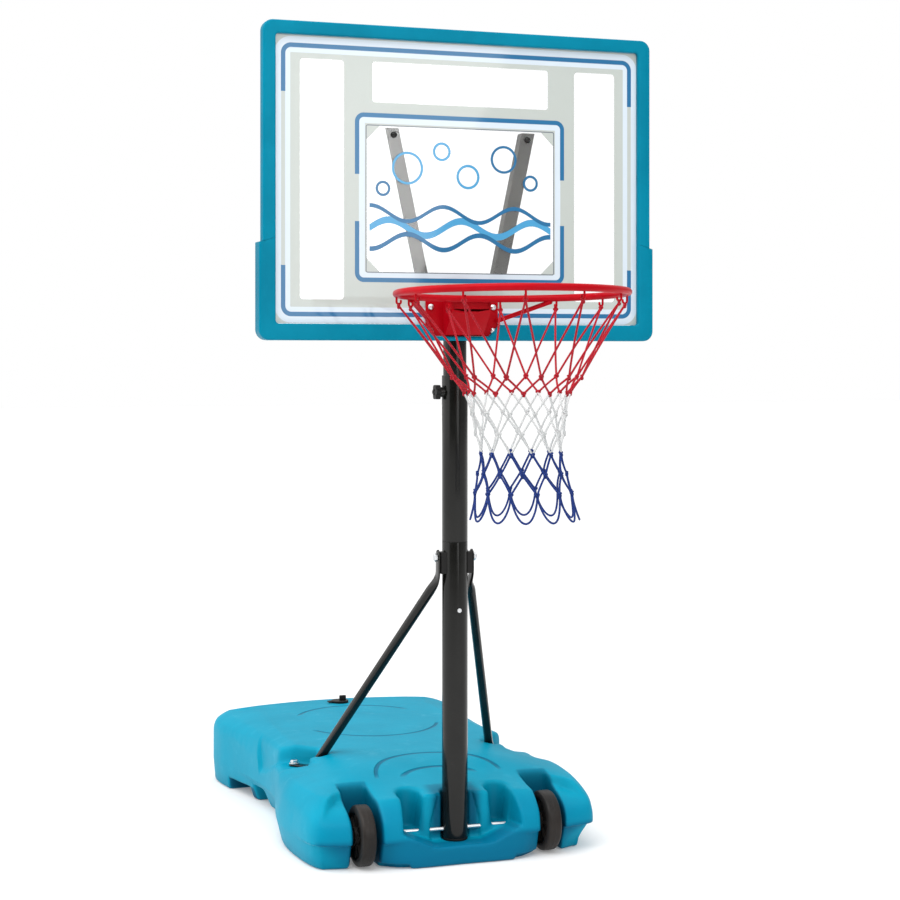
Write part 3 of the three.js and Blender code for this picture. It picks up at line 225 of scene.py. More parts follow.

# %% [markdown]
# **The base's own skin** has two figures more. Part rings are pressed into the top by the mould.
# They are thin and even, so they are drawn in the shader as distances from a ring, and a Bump
# node presses them in; the mesh stays free to have large, soft cells. And shade is painted into
# the tone by place: in the pressed rings, the wells, scoops, slot and arches, under the lip, near
# the floor and over the front, where little light comes.

# %% Skin of the base with its pressed rings and painted shade
def base_skin():
    """Plastic skin, pressed rings and painted shade in hollows; every place is in metres."""
    made = Finish("base_plastic")
    where = made.here()
    x, y, z = made.parts(where)
    across = abs(x)

    def ring(centre_y, half_x, half_y, keep):
        """Depth of one pressed line: 1 on the ellipse, 0 a few millimetres off it."""
        reach = ((x / half_x) ** 2.0 + ((y - centre_y) / half_y) ** 2.0).root()
        return (abs(reach - 1.0) * half_y).fade(0.0015, 0.0048) * keep

    def near(value, middle, inner, outer):
        """1 up to `inner` from the middle, 0 from `outer` on."""
        return abs(value - middle).fade(inner, outer)

    # Two rings lie round the front of the top, behind the lip; the rear one has a gap each side.
    behind_lip = y.step(0.076, 0.096)
    gaps = abs(y - 0.54).step(0.072, 0.095)
    pressed = ring(0.072, 0.116, 0.114, behind_lip).above(ring(0.070, 0.070, 0.045, behind_lip))
    pressed = pressed.above(ring(0.527, 0.138, 0.166, gaps)) * z.step(0.118, 0.124)
    front = y.fade(0.034, 0.046)
    # Masks of the hollows, where shade is painted into the colour.
    wells = near(across, 0.1695, 0.0250, 0.0290) * y.fade(0.068, 0.078)
    arches = near(y, 0.6025, 0.0565, 0.0590) * z.fade(0.022, 0.028)
    arches = arches.above(near(y, 0.503, 0.023, 0.0255) * z.fade(0.032, 0.038))
    arches = arches * across.step(0.172, 0.180)
    scoops = near(across, 0.081, 0.018, 0.026) * front * z.step(0.050, 0.056)
    slot = across.fade(0.034, 0.052) * front * y.step(-0.036, -0.030) * z.step(0.034, 0.05)
    # How dark the painted shade in each hollow is; all but the arches grow paler toward the top.
    hollow_shade = (wells * (0.75 - 0.4 * z.step(0.09, 0.14))).above(scoops * 0.35 * z.fade(0.085, 0.135))
    hollow_shade = hollow_shade.above(slot * 0.75 * z.fade(0.105, 0.14)).above(arches * 0.7)
    clouds = made.noise(where, 7.0, 4.0, 0.55).step(0.3, 0.7)
    grains = made.noise(where, 900.0, 2.0)
    ripples = made.noise(where, 24.0, 2.0)
    rubs = made.noise(where, 30.0, 6.0, 0.7).step(0.54, 0.7)
    # Painted shade: darker near the floor, under the lip and in the pressed rings.
    near_floor = z.fade(0.0, 0.03)
    under_lip = z.fade(0.046, 0.056) * y.fade(-0.024, -0.008)
    shade = (pressed * 0.75 + near_floor * 0.3 + under_lip * 0.9).below(1.0)
    tone = made.mix(clouds * 0.7 + rubs * 0.3, paint(0, 136, 164), paint(2, 147, 176))
    tone = made.mix(shade, tone, paint(0, 80, 112))
    # Painted shade over the front: full forward of y = -36 mm, none behind y = 6 mm.
    tone = made.mix(y.fade(-0.036, 0.006) * 0.6, tone, paint(0, 112, 146))
    # Painted shade in the wells, scoops, slot and arches.
    tone = made.mix(hollow_shade, tone, paint(0, 52, 84))
    skin = made.bump(ripples, 0.002, 0.35, made.bump(grains, 0.0002, 0.5))
    return made.shade(
        base_color=tone, roughness=0.40 + 0.12 * grains - 0.08 * rubs, specular_ior_level=0.07,
        normal=made.bump(1.0 - pressed, 0.003, 0.8, skin))


base_plastic = base_skin()
print("nodes in the base's skin:", len(base_plastic.node_tree.nodes))

# %% [markdown]
# **Steel, painted and plated.** The pole and struts wear a smooth dark paint with a faint orange
# peel; the rim a thick red gloss; bolts and the axle a thin zinc plate with cloudy spangles.

# %% Painted and plated steel
def painted(name, deep, pale, rough, coat, metal=0.0, shine=0.5):
    """Paint on steel: fine orange peel, a breath of dust and a clear top where it is glossy."""
    made = Finish(name)
    where = made.here()
    peels = made.noise(where, 420.0, 2.0)
    dust = made.noise(where, 14.0, 5.0, 0.65).step(0.4, 0.75)
    flecks = made.noise(where, 1500.0, 1.0)
    return made.shade(
        base_color=made.mix(dust * 0.7 + flecks * 0.3, paint(*deep), paint(*pale)),
        roughness=rough + 0.12 * dust, metallic=metal, coat_weight=coat, coat_roughness=0.12,
        coat_ior=1.3, ior=1.35, specular_ior_level=shine, normal=made.bump(peels, 0.00012, 0.5))


black_steel = painted("black_steel", (14, 14, 12), (26, 26, 24), 0.15, 0.35, shine=0.4)
grey_steel = painted("grey_steel", (92, 92, 89), (120, 119, 115), 0.42, 0.0, metal=0.3)
red_steel = painted("red_steel", (160, 4, 18), (178, 10, 26), 0.3, 0.05, shine=0.1)


def plated():
    """Zinc plate: cloudy spangles in colour and roughness, and hair-fine drawing marks."""
    made = Finish("zinc_steel")
    where = made.here()
    spangle = made.node("ShaderNodeTexVoronoi", {"feature": "F1"},
                        {"Vector": where, "Scale": 340.0}, out="Distance")
    clouds = made.noise(where, 60.0, 3.0)
    return made.shade(
        base_color=made.mix(
            spangle * 0.5 + clouds * 0.5, paint(196, 198, 200), paint(228, 230, 232)),
        metallic=1.0, roughness=0.22 + 0.16 * clouds,
        normal=made.bump(made.noise(where, 1200.0, 1.0), 0.00006, 0.5))


zinc_steel = plated()
print("steel finishes: 4")

# %% [markdown]
# ** Net cord.** Each cord is three strands laid round each other. The mesh of a cord carries its
# own UV map, one turn of the cord across and its length along, so slanted waves over that map
# draw the strands, paint shade into the creases between them and raise their backs.

# %% Net cord
def corded(name, deep, pale):
    """Laid cord: slanted waves over the cord's UV map for strands, and fluff in fine noise."""
    made = Finish(name)
    where = made.here()
    u, v, _ = made.parts(made.here("UV"))
    # Painted shade and light: deep colour in the creases between strands, pale on their backs.
    strands = ((u * 3.0 + v * 160.0) * TURN).sine() * 0.5 + 0.5
    fluff = made.noise(where, 1400.0, 3.0)
    worn = made.noise(where, 30.0, 3.0)
    return made.shade(
        base_color=made.mix(strands * 0.6 + fluff * 0.25 + worn * 0.15, paint(*deep), paint(*pale)),
        roughness=0.82 + 0.1 * fluff, sheen_weight=0.1, specular_ior_level=0.2,
        normal=made.bump(strands * 0.8 + fluff * 0.2, 0.0006, 0.7))


red_cord = corded("red_cord", (124, 4, 18), (192, 22, 42))
white_cord = corded("white_cord", (172, 174, 175), (216, 218, 217))
blue_cord = corded("blue_cord", (6, 26, 76), (24, 58, 138))
print("cord finishes: 3")

# %% [markdown]
# ## Tools for new surfaces
# Nearly every piece here is a grid: rows of points across columns of points. The same few
# helpers join the grid into faces, close it, put it into a mesh and hand it to its body.

# %% Grids and meshes
def grid_faces(rows, columns, close_rows=False, close_columns=True, copies=1):
    """Quads between neighbouring points of a grid, wrapped round where it closes, per copy."""
    i = np.arange(rows if close_rows else rows - 1)[:, None]
    j = np.arange(columns if close_columns else columns - 1)[None, :]
    over, across = (i + 1) % rows * columns, (j + 1) % columns
    quads = np.stack(
        np.broadcast_arrays(i * columns + j, i * columns + across, over + across, over + j), -1)
    starts = np.arange(copies) * rows * columns
    return (quads.reshape(1, -1, 4) + starts[:, None, None]).reshape(-1, 4)


def outward(points, faces):
    """The same faces, turned over if the volume that they enclose comes out negative."""
    a, b, c, d = (points[faces[:, k]] for k in range(4))
    volume = (a * (np.cross(b, c) + np.cross(c, d))).sum()
    return faces if volume > 0 else faces[:, ::-1]


def piece(name, points, faces, body, finish, stands_for=(), slot=None, uv=None, merge=True,
          angle=40):
    """A mesh from points in millimetres and quads; it rides on a body and may stand for solids."""
    mesh = bpy.data.meshes.new(name)
    points = np.ascontiguousarray(points.reshape(-1, 3), np.float64)
    count = len(faces)
    mesh.vertices.add(len(points))
    mesh.vertices.foreach_set("co", (points * MM).astype(np.float32).ravel())
    mesh.loops.add(count * 4)
    mesh.loops.foreach_set("vertex_index", faces.astype(np.int32).ravel())
    mesh.polygons.add(count)
    mesh.polygons.foreach_set("loop_start", np.arange(count, dtype=np.int32) * 4)
    mesh.update(calc_edges=True)
    if uv is not None:
        layer = mesh.uv_layers.new(name="along")
        layer.data.foreach_set("uv", uv[faces.ravel()].astype(np.float32).ravel())
    if merge:
        work = bmesh.new()
        work.from_mesh(mesh)
        bmesh.ops.remove_doubles(work, verts=work.verts, dist=2e-6)
        work.to_mesh(mesh)
        work.free()
    mesh.validate()
    return finished(name, mesh, body, finish, stands_for, slot, angle)


def finished(name, mesh, body, finish, stands_for, slot, angle):
    """Smooth shading with crisp edges past an angle, a finish and a body.

    A slot's name is worked out, the finish's own name if no other is given, without the number
    that Blender adds to a name that the frame uses already, but nothing uses it.
    """
    mesh.shade_smooth()
    mesh.set_sharp_from_angle(angle=math.radians(angle))
    mesh.materials.append(finish)
    made = bpy.data.objects.new(name, mesh)
    bpy.context.scene.collection.objects.link(made)
    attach(made, body)
    slot = slot or finish.name.split(".")[0]
    if stands_for:
        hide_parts(*stands_for)
    return made


def soften(points, radius, steps=4, closed=True):
    """Rounds each corner of a line with a curve (1-u)^2 start + 2u(1-u) corner + u^2 end."""
    points = np.asarray(points, float)
    before, after = np.roll(points, 1, 0) - points, np.roll(points, -1, 0) - points
    reach = lambda side: np.linalg.norm(side, axis=1, keepdims=True) + 1e-9
    most = np.minimum(reach(before), reach(after)) * 0.48
    cut = np.minimum(np.reshape(radius, (-1, 1)), most)
    start, end = points + before / reach(before) * cut, points + after / reach(after) * cut
    u = np.linspace(0, 1, steps + 1)[None, :, None]
    curve = (1 - u) ** 2 * start[:, None] + 2 * u * (1 - u) * points[:, None] + u * u * end[:, None]
    if not closed:
        curve[0], curve[-1] = points[0], points[-1]
    return curve.reshape(-1, points.shape[1])


def closed(line):
    """The same line of points, with the first put at the end too."""
    return np.vstack([line, line[:1]])


def unit(vectors):
    """The same vectors, each divided by its length."""
    return vectors / np.linalg.norm(vectors, axis=-1, keepdims=True)


def lengths(path):
    """How far along its path each point lies, for paths of shape (..., stations, 3)."""
    steps = np.linalg.norm(np.diff(path, axis=-2), axis=-1)
    return np.concatenate([np.zeros((*steps.shape[:-1], 1)), np.cumsum(steps, -1)], -1)


print("a softened square has", len(soften([[0, 0], [1, 0], [1, 1], [0, 1]], 0.1)), "points")

# %% [markdown]
# **Turned pieces** are a profile of radius and height, spun about an axis. A hexagon is a turned
# piece too: its radius is the smaller of the profile's and the hexagon's own, and the round
# chamfer that a real bolt head has appears by itself where the two cross.

# %% Turned pieces
def spun(profile, origin, axis, sides=64, shape=None):
    """Points and quads of a profile spun about an axis; shape(r, h, angle) gives the radius."""
    r, h = np.asarray(profile, float).T[:, :, None]
    angle = (np.arange(sides) / sides * TURN)[None, :]
    radius = r + 0 * angle if shape is None else shape(r, h, angle)
    axis = np.asarray(axis, float)
    side = unit(np.cross(axis, (0, 0, 1.0) if abs(axis[2]) < 0.9 else (1.0, 0, 0)))
    other = np.cross(axis, side)
    points = (np.asarray(origin, float) + h[..., None] * axis
              + (radius * np.cos(angle))[..., None] * side
              + (radius * np.sin(angle))[..., None] * other).reshape(-1, 3)
    faces = grid_faces(len(profile), sides)
    return points, outward(points, faces)


def hexagon(flat):
    """A limit for the radius: the hexagon that is `flat` from its centre to each flat side."""
    def limit(r, h, angle):
        """The profile's radius, but no more than the flat's distance over cos of the angle."""
        off = np.mod(angle + TURN / 12, TURN / 6) - TURN / 12
        return np.minimum(r, flat / np.cos(off))
    return limit


def together(*parts):
    """Several sets of points and quads, and of UV places if they have them, as one."""
    starts = np.cumsum([0] + [len(part[0]) for part in parts])
    points, faces, *uv = zip(*parts)
    faces = [quads + start for quads, start in zip(faces, starts)]
    return tuple(np.concatenate(group) for group in (points, faces, *uv))


def turned(name, profile, origin, axis, body, finish, stands_for, sides):
    """A turned piece; its profile starts and ends on the axis or closes on itself."""
    return piece(name, *spun(profile, origin, axis, sides), body, finish, stands_for)


def bore_ring(inner, outer, low, high, soft=0.5):
    """Closed profile of a tube's wall, with softened edges."""
    return closed(soften([[inner, low], [outer, low], [outer, high], [inner, high]], soft, 3))


print("corner radius of a 10 mm hexagon:", round(float(hexagon(10)(99, 0, TURN / 12)), 2))

# %% [markdown]
# **Swept pieces** carry a section along a path. At each station the section is turned so that it
# stands square to the path, measured from one fixed direction, which keeps it from twisting.

# %% Swept pieces
def swept(path, half_u, half_v, normal, sides=16, square=1.0):
    """Points and quads of ellipses carried along paths of shape (..., stations, 3).

    A station's v lies square to the path and the normal, and u square to both. `square` under 1
    makes the ellipse boxier: each part keeps its sign and is raised to that power.
    """
    path = np.asarray(path, float)
    way = unit(np.gradient(path, axis=-2))
    v = unit(np.cross(way, np.broadcast_to(normal, path.shape)))
    u = np.cross(v, way)
    angle = np.arange(sides) / sides * TURN
    power = lambda wave: np.sign(wave) * np.abs(wave) ** square
    a = np.broadcast_to(half_u, path.shape[:-1])[..., None] * power(np.cos(angle))
    b = np.broadcast_to(half_v, path.shape[:-1])[..., None] * power(np.sin(angle))
    points = path[..., None, :] + a[..., None] * u[..., None, :] + b[..., None] * v[..., None, :]
    points = points.reshape(-1, 3)
    faces = grid_faces(path.shape[-2], sides, copies=int(np.prod(path.shape[:-2])))
    return points, outward(points, faces)


def capped(half, stations):
    """Half sizes along a path that draw in to a point over the first and last stations."""
    ends = np.ones(stations)
    ends[:4] = np.array([0.0, 0.55, 0.86, 1.0])
    ends[-4:] = ends[:4][::-1]
    return half * ends


def spaced(points, count):
    """The same line of points, spaced evenly along its length."""
    reach = lengths(points)
    even = np.linspace(0, reach[-1], count)
    return np.stack([np.interp(even, reach, points[:, k]) for k in range(3)], 1)


def rod(name, start, end, radius, body, finish, stands_for, sides):
    """A nearly level round rod; its first and last steps are short and round its ends off."""
    start, end = np.asarray(start, float), np.asarray(end, float)
    near = np.array([0.0, 0.12, 0.45, 1.0]) * radius * 0.35 / np.linalg.norm(end - start)
    share = np.concatenate([near, np.linspace(near[-1] * 2, 1 - near[-1] * 2, 6), 1 - near[::-1]])
    half = capped(radius, len(share))
    points, faces = swept(start + share[:, None] * (end - start), half, half, (0, 0, 1.0), sides)
    return piece(name, points, faces, body, finish, stands_for)


print("a rod of 14 stations draws in to", capped(4, 14)[:4].round(1).tolist(), "mm")

# %% [markdown]
# ## The base
# The base is blown from one tube of soft plastic, so it has no sharp edge: every pocket, well
# and scoop runs into the next in a fillet. Cutting boxes out of a box would leave hard edges.
# Here the base is a field instead: a number at each point of space, negative inside and positive
# outside. Fields are cut and joined with a smooth maximum, which rounds each edge by a chosen
# amount, and one pass at the end finds the skin where the field is zero.

# %% Outline of the base
HEIGHT, FRONT, LENGTH, HALF = 148.0, -50.0, 858.0, 270.0
# Each row: edge and crown as shares of half width and length; then side, brow and crown heights
# as shares of the height; then how far the skirt's top and its foot stand back, in millimetres.
OUTLINE = np.array([
    [0, 0, 0, .145, .405, .77, .865, 0, 1],
    [.37, .001, .35, .145, .405, .77, .865, 0, 1],
    [.55, .006, .5, .145, .436, .75, .865, 8, 22],
    [.74, .018, .63, .146, .446, .67, .85, 8, 22],
    [.9, .03, .71, .152, .446, .69, .86, 9, 22],
    [.955, .047, .73, .16, .46, .75, .88, 7, 18],
    [.985, .085, .745, .17, .473, .8, .888, 3, 13],
    [1, .155, .755, .205, .473, .81, .888, 0, 10],
    [1.01, .25, .755, .28, .473, .81, .888, 0, 12],
    [.962, .34, .735, .36, .473, .79, .89, 0, 12],
    [.88, .44, .72, .445, .716, .926, .986, 2, 22],
    [.845, .56, .715, .56, .716, .926, .986, 2, 22],
    [.865, .67, .7, .67, .716, .926, .986, 2, 20],
    [.91, .79, .66, .785, .77, .932, 1, 0, 4],
    [.955, .88, .64, .87, .77, .932, 1, 0, 4],
    [.955, .945, .63, .93, .77, .932, 1, 0, 4],
    [.9, .985, .61, .958, .77, .932, 1, 0, 4],
    [.78, 1, .56, .968, .77, .932, 1, 0, 4],
    [.4, 1, .3, .972, .77, .932, 1, 0, 4],
    [0, 1, 0, .972, .77, .932, 1, 0, 4]])


def smooth_loop(keys, steps):
    """A closed curve through its keys: each point is a cubic blend of the four keys round it."""
    u = np.linspace(0, 1, steps, endpoint=False)[None, :, None]
    k0, k1, k2, k3 = (np.roll(keys, 1 - n, 0)[:, None] for n in range(4))
    curve = 0.5 * (2 * k1 + (k2 - k0) * u + (2 * k0 - 5 * k1 + 4 * k2 - k3) * u ** 2
                   + (3 * k1 - 3 * k2 + k3 - k0) * u ** 3)
    return curve.reshape(-1, keys.shape[1])


other_half = OUTLINE[-2:0:-1] * np.array([-1, 1, -1, 1, 1, 1, 1, 1, 1])
around = np.vstack([OUTLINE, other_half])
scale = np.array([HALF, LENGTH, HALF, LENGTH, HEIGHT, HEIGHT, HEIGHT, 1, 1])
shift = np.array([0, FRONT, 0, FRONT, 0, 0, 0, 0, 0])
outline = smooth_loop(around, 8) * scale + shift
print("outline points:", len(outline), "half width", round(float(outline[:, 0].max()), 1), "mm")

# %% [markdown]
# **Side and top.** For each point of the plan, the nearest place on the outline gives its own
# shoulder: how high the side stands there, where the round brow ends and where the slope meets
# the flat top. The height of the top is then a function of the distance from the edge.

# %% The base as a field
CELL = 3.3
# The brow takes a third of the shoulder; the skirt reaches up to SKIRT; the top is blurred over
# BLUR, from CALM in from the edge and fully CALM_OVER further in.
BROW, SKIRT, BLUR, CALM, CALM_OVER = 0.33, 46, 22, 48, 40


def bigger(first, second, soft):
    """The larger of two fields, with the edge where they cross rounded over about `soft`."""
    near = np.maximum(soft - np.abs(first - second), 0) / soft
    return np.maximum(first, second) + near * near * soft / 4


def smaller(first, second, soft):
    """The smaller of two fields, with their seam rounded in the same way."""
    return -bigger(-first, -second, soft)


def nearest(x, y):
    """Distance from the outline, positive inside, and the outline's values at the nearest place."""
    start, end = outline, np.roll(outline, -1, 0)
    span = end[:, :2] - start[:, :2]
    spot = np.stack([x.ravel(), y.ravel()], 1)[:, None]
    off = spot - start[None, :, :2]
    share = np.clip((off * span).sum(2) / (span ** 2).sum(1), 0, 1)
    gap = np.linalg.norm(off - share[..., None] * span, axis=2)
    best = gap.argmin(1)
    rows = np.arange(len(best))
    t = share[rows, best][:, None]
    values = start[best] * (1 - t) + end[best] * t
    left, right = start[None, :, 1] <= spot[:, :, 1], end[None, :, 1] <= spot[:, :, 1]
    over = span[:, 0] * off[:, :, 1] - off[:, :, 0] * span[:, 1]
    rising, falling = left & ~right & (over < 0), ~left & right & (over > 0)
    sign = np.where(rising.sum(1) != falling.sum(1), 1.0, -1.0)
    return (gap[rows, best] * sign).reshape(x.shape), values.reshape(*x.shape, -1)


def top_height(inside, values):
    """Side height at the edge, a round brow, a straight slope to the crown, then the flat top."""
    edge, crown = values[..., 0:2], values[..., 2:4]
    side, brow, top = values[..., 4], values[..., 5], values[..., 6]
    reach = np.linalg.norm(crown - edge, axis=-1)
    share = np.clip(inside, 0, None) / reach
    bend = np.arccos(1 - np.clip(share / BROW, 0, 1))
    rise = 0.5 * np.sin(bend) + 0.5 * (1 - np.cos(bend))
    slope = np.clip((share - BROW) / (1 - BROW), 0, 1)
    height = side + (brow - side) * rise + (top - brow) * slope
    middle = np.linalg.norm(crown - np.array([0, FRONT + LENGTH / 2]), axis=-1) * 0.3
    return height + (HEIGHT - top) * np.clip((inside - reach) / middle, 0, 1)


xs = np.arange(-290, 290 + CELL, CELL)
ys = np.arange(-66, 826, CELL)
zs = np.arange(-10, 162, CELL)
plan_x, plan_y = np.meshgrid(xs, ys, indexing="ij")
inside, values = nearest(plan_x, plan_y)
height = top_height(inside, values)
height[1:-1, 1:-1] = (height[1:-1, 1:-1] * 2 + height[2:, 1:-1] + height[:-2, 1:-1]
                      + height[1:-1, 2:] + height[1:-1, :-2]) / 6
# A bell-shaped blur takes the ridges out of the top where its slopes meet, far from the edge.
bell = np.exp(-(np.arange(-18, 19) * CELL / BLUR) ** 2 / 2)
bell = bell / bell.sum()
blurred = height
for axis in (0, 1):
    blurred = np.apply_along_axis(lambda row: np.convolve(row, bell, "same"), axis, blurred)
calm = np.clip((inside - CALM) / CALM_OVER, 0, 1)
height = height * (1 - calm) + blurred * calm
slope = np.sqrt(1 + sum(g * g for g in np.gradient(height, CELL)))
x, y, z = plan_x[..., None], plan_y[..., None], zs[None, None, :]
skirt, foot = values[..., 7, None], values[..., 8, None]
set_back = np.where(z < SKIRT, foot + (skirt - foot) * np.clip(z / SKIRT, 0, 1), 0)
# The nose's right foot stands back up to 13 mm more than the left, as the photograph shows it.
trim = np.clip((x - 190) / 50, 0, 1) * np.clip((70 - y) / 40, 0, 1)
set_back = set_back + 13 * trim * np.clip((SKIRT - z) / 30, 0, 1)
body = bigger((z - height[..., None]) / slope[..., None], set_back - inside[..., None], 9)
body = bigger(body, -z + 0 * body, 7)
print("field cells:", body.size)

# %% [markdown]
# **What is taken out**: a well for each wheel, a scoop on each side of the pole, the pole's slot,
# the lip in front of it, a pocket for each strut's foot, and the arches and notches below.

# %% Cuts in the field
WHEEL_X = 169.5
FOOT_X, FOOT_Y = 204, 317
side = np.abs(x)


def slab(value, low, high):
    """Distance from the space between two flat walls."""
    return np.maximum(low - value, value - high)


# Wheel well: 49 mm wide, open to the front, its back wall leaning.
well = bigger(slab(side, WHEEL_X - 24.5, WHEEL_X + 24.5), y - (58 + 8 * z / 150), 8)

# Scoop beside the pole: a half round groove that widens upwards from its floor.
SCOOP_X, SCOOP_FLOOR = 81, 54
scoop_radius = 14 + 11 * np.clip((z - SCOOP_FLOOR) / 96, -0.2, 1)
scoop_back = 36 - scoop_radius
scoop_end = np.hypot(side - SCOOP_X, y - scoop_back)
scoop = np.where(y > scoop_back, scoop_end, np.abs(side - SCOOP_X)) - scoop_radius
scoop = bigger(scoop, SCOOP_FLOOR - z + 0 * scoop, 5)

# Lip in front of the pole: slanted sides that spread to the front, where its floor falls.
LIP_BACK, LIP_TOP = -6, 59
spread = np.clip((LIP_BACK - y) / 46, 0, 1)
lip_floor, lip_foot, lip_top = 37 - 3 * spread, 46 + 10 * spread, 101 + 9 * spread
lip_rise = np.clip((z - lip_floor) / (LIP_TOP - lip_floor), 0, 1)
lip_half = lip_foot + (lip_top - lip_foot) * lip_rise
lip = bigger(bigger((side - lip_half) * 0.8, lip_floor - z, 2), y - LIP_BACK + 0 * z, 4)

# Slot of the pole: round behind, open to the lip, and wider below.
slot_half = 33 + 13 * np.clip((112 - z) / 46, 0, 1)
slot_front = np.maximum((side - slot_half) * 0.96, slab(y, -60, 0))
slot = np.minimum(np.hypot(x, y) - 26 + 0 * z, slot_front)
slot = bigger(slot, 34 - z + 0 * slot, 4)

# Pocket of a strut: a slanted wall, a ledge behind it and room for the strut's flat end.
pocket_side = -((side - 169) * 67 - (y - 299) * 59) / 89.3
pocket = bigger(pocket_side, 190 - side - 40 * np.clip((y - 290) / 12, 0, 1), 6)
pocket = smaller(pocket, bigger(224 - side + 0 * y, slab(y, 350, 530), 8), 8)
RUN_X, RUN_Y = 39, 49
off_x, off_y = side - FOOT_X, y - FOOT_Y
share = np.clip(-(off_x * RUN_X + off_y * RUN_Y) / (RUN_X ** 2 + RUN_Y ** 2), 0, 1)
pocket = smaller(pocket, np.hypot(off_x + RUN_X * share, off_y + RUN_Y * share) - 14, 12)
pocket_floor = np.interp(y, [200, 285, 345, 435, 484, 508], [141.7, 112, 112, 80, 72, 145])
pocket = bigger(pocket, pocket_floor - z, 9)

# Two finger arches under each side, and shallow notches in the lower edge, front and rear.
arch = bigger(bigger(180 - side + 0 * y, slab(y, 563, 659), 6), z - 23, 6)
waist = bigger(bigger(170 - side + 0 * y, slab(y, 480, 541), 6), z - 33, 6)
notch = bigger(np.maximum(np.abs(side - 130) - 34, inside[..., None] - foot - 12), z - 8, 4)
for cut, soft in ((well, 7), (scoop, 7), (lip, 3), (slot, 4), (pocket, 9), (arch, 6), (waist, 6),
                  (notch, 4)):
    body = bigger(body, -cut, soft)
print("share of the box that is plastic:", round(float((body < 0).mean()), 3))

# %% [markdown]
# **From field to skin.** In every cell that the skin crosses, one point is put at the mean of
# the places where the cell's edges cross it; around every grid edge that changes sign, the four
# cells that share it are joined in a quad. That gives even quads and soft, closed surfaces.

# %% Skin of a field
def field_skin(field, grid):
    """Points and quads of the zero surface of a field on a regular grid, outward facing."""
    corners = [(i, j, k) for i in (0, 1) for j in (0, 1) for k in (0, 1)]
    size = np.array(field.shape) - 1
    at = lambda c: field[tuple(slice(c[n], c[n] + size[n]) for n in range(3))]
    count = sum((at(c) < 0).astype(np.int8) for c in corners)
    live = (count > 0) & (count < 8)
    number = np.full(live.shape, -1)
    number[live] = np.arange(live.sum())
    total, hits = np.zeros((live.sum(), 3)), np.zeros((live.sum(), 1))
    edges = [(a, b) for a in corners for b in corners
             if sum(np.subtract(b, a)) == 1 and min(np.subtract(b, a)) >= 0]
    for a, b in edges:
        fa, fb = at(a)[live], at(b)[live]
        crosses = ((fa < 0) != (fb < 0))[:, None]
        share = np.where(crosses[:, 0], fa / np.where(fa == fb, 1, fa - fb), 0)[:, None]
        total += crosses * (np.array(a) + share * (np.array(b) - np.array(a)))
        hits += crosses
    places = np.argwhere(live) + total / hits
    points = np.stack([np.interp(place, np.arange(len(line)), line)
                       for place, line in zip(places.T, grid)], 1)
    quads = []
    for axis in range(3):
        u, v = (axis + 1) % 3, (axis + 2) % 3
        low, high = [slice(None)] * 3, [slice(None)] * 3
        low[axis], high[axis] = slice(0, -1), slice(1, None)
        change = (field[tuple(low)] < 0) != (field[tuple(high)] < 0)
        spots = np.argwhere(change)
        spots = spots[((spots[:, [u, v]] > 0) & (spots[:, [u, v]] < size[[u, v]])).all(1)]
        step_u, step_v = np.eye(3, dtype=int)[[u, v]]
        cells = (spots - step_u - step_v, spots - step_v, spots, spots - step_u)
        quad = np.stack([number[tuple(cell.T)] for cell in cells], 1)
        leaving = field[tuple(spots.T)] < 0
        quads.append(np.where(leaving[:, None], quad, quad[:, ::-1]))
    return points, np.concatenate(quads)


points, faces = field_skin(body, (xs, ys, zs))
piece("base_shell", points, outward(points, faces), "base", base_plastic, ["base_tank"],
      merge=False, angle=180)
print("base skin:", len(points), "points,", 2 * len(faces), "triangles")

# %% [markdown]
# ## Wheels, axle and plug
# The wheels are moulded too: a tyre with round shoulders, a sunk web and raised spokes.
# A wheel is a turned piece whose web is lifted along the spokes, so one grid holds all of it.

# %% Wheels and axle
AXLE_Z = 53.0


def wheel(word, side):
    """A tyre with a fine mould line and round shoulders; eight spokes rise from the sunk web."""
    # Radius and height of each corner of one half, and how far the corner is rounded.
    half = np.array([[4.4, 15.5, .4], [15, 15.5, 1.5], [15, 9, 2.5], [37, 9, 3], [40, 14, 1.5],
                     [44, 14, 3], [52, 11, 9], [52, 0.6, .3], [52.3, 0, .2]])
    whole = np.vstack([half, half[-2::-1] * (1, -1, 1)])
    points, faces = spun(closed(soften(whole[:, :2], whole[:, 2], 5)), (0, 0, 0), (1, 0, 0), 128)
    radius = np.hypot(points[:, 1], points[:, 2])
    turn = np.arctan2(points[:, 2], points[:, 1])
    spoke = np.clip((np.cos(turn * 8) - 0.55) / 0.3, 0, 1)
    web = np.clip((radius - 14) / 3, 0, 1) * np.clip((38 - radius) / 3, 0, 1)
    points[:, 0] += np.sign(points[:, 0]) * 3.2 * spoke * web * (np.abs(points[:, 0]) > 5)
    return piece(f"tyre_{word}", points + (side * WHEEL_X, 0, AXLE_Z), faces, f"wheel_{word}",
                 wheel_plastic, [f"wheel_{word}"], "black_plastic")


for word, side in SIDES:
    wheel(word, side)
    for place, low, high in (("inner", -24.2, -15.8), ("outer", 15.8, 24.2)):
        turned(f"spacer_{place}_{word}", bore_ring(4.4, 8, low, high), (side * WHEEL_X, 0, AXLE_Z),
               (side, 0, 0), "base", black_plastic, [f"wheel_spacer_{place}_{word}"], 40)
rod("axle", (-209.7, 0, AXLE_Z), (209.7, 0, AXLE_Z), 4, "base", zinc_steel, ["axle_rod"], 32)
print("wheel spokes: 8 each side")

# %% [markdown]
# **The filler plug** is soft black plastic: a flange, a grip to pull on and a strap tab. The seal
# under it is a thin rubber ring, so the exact solid only needs a better finish.

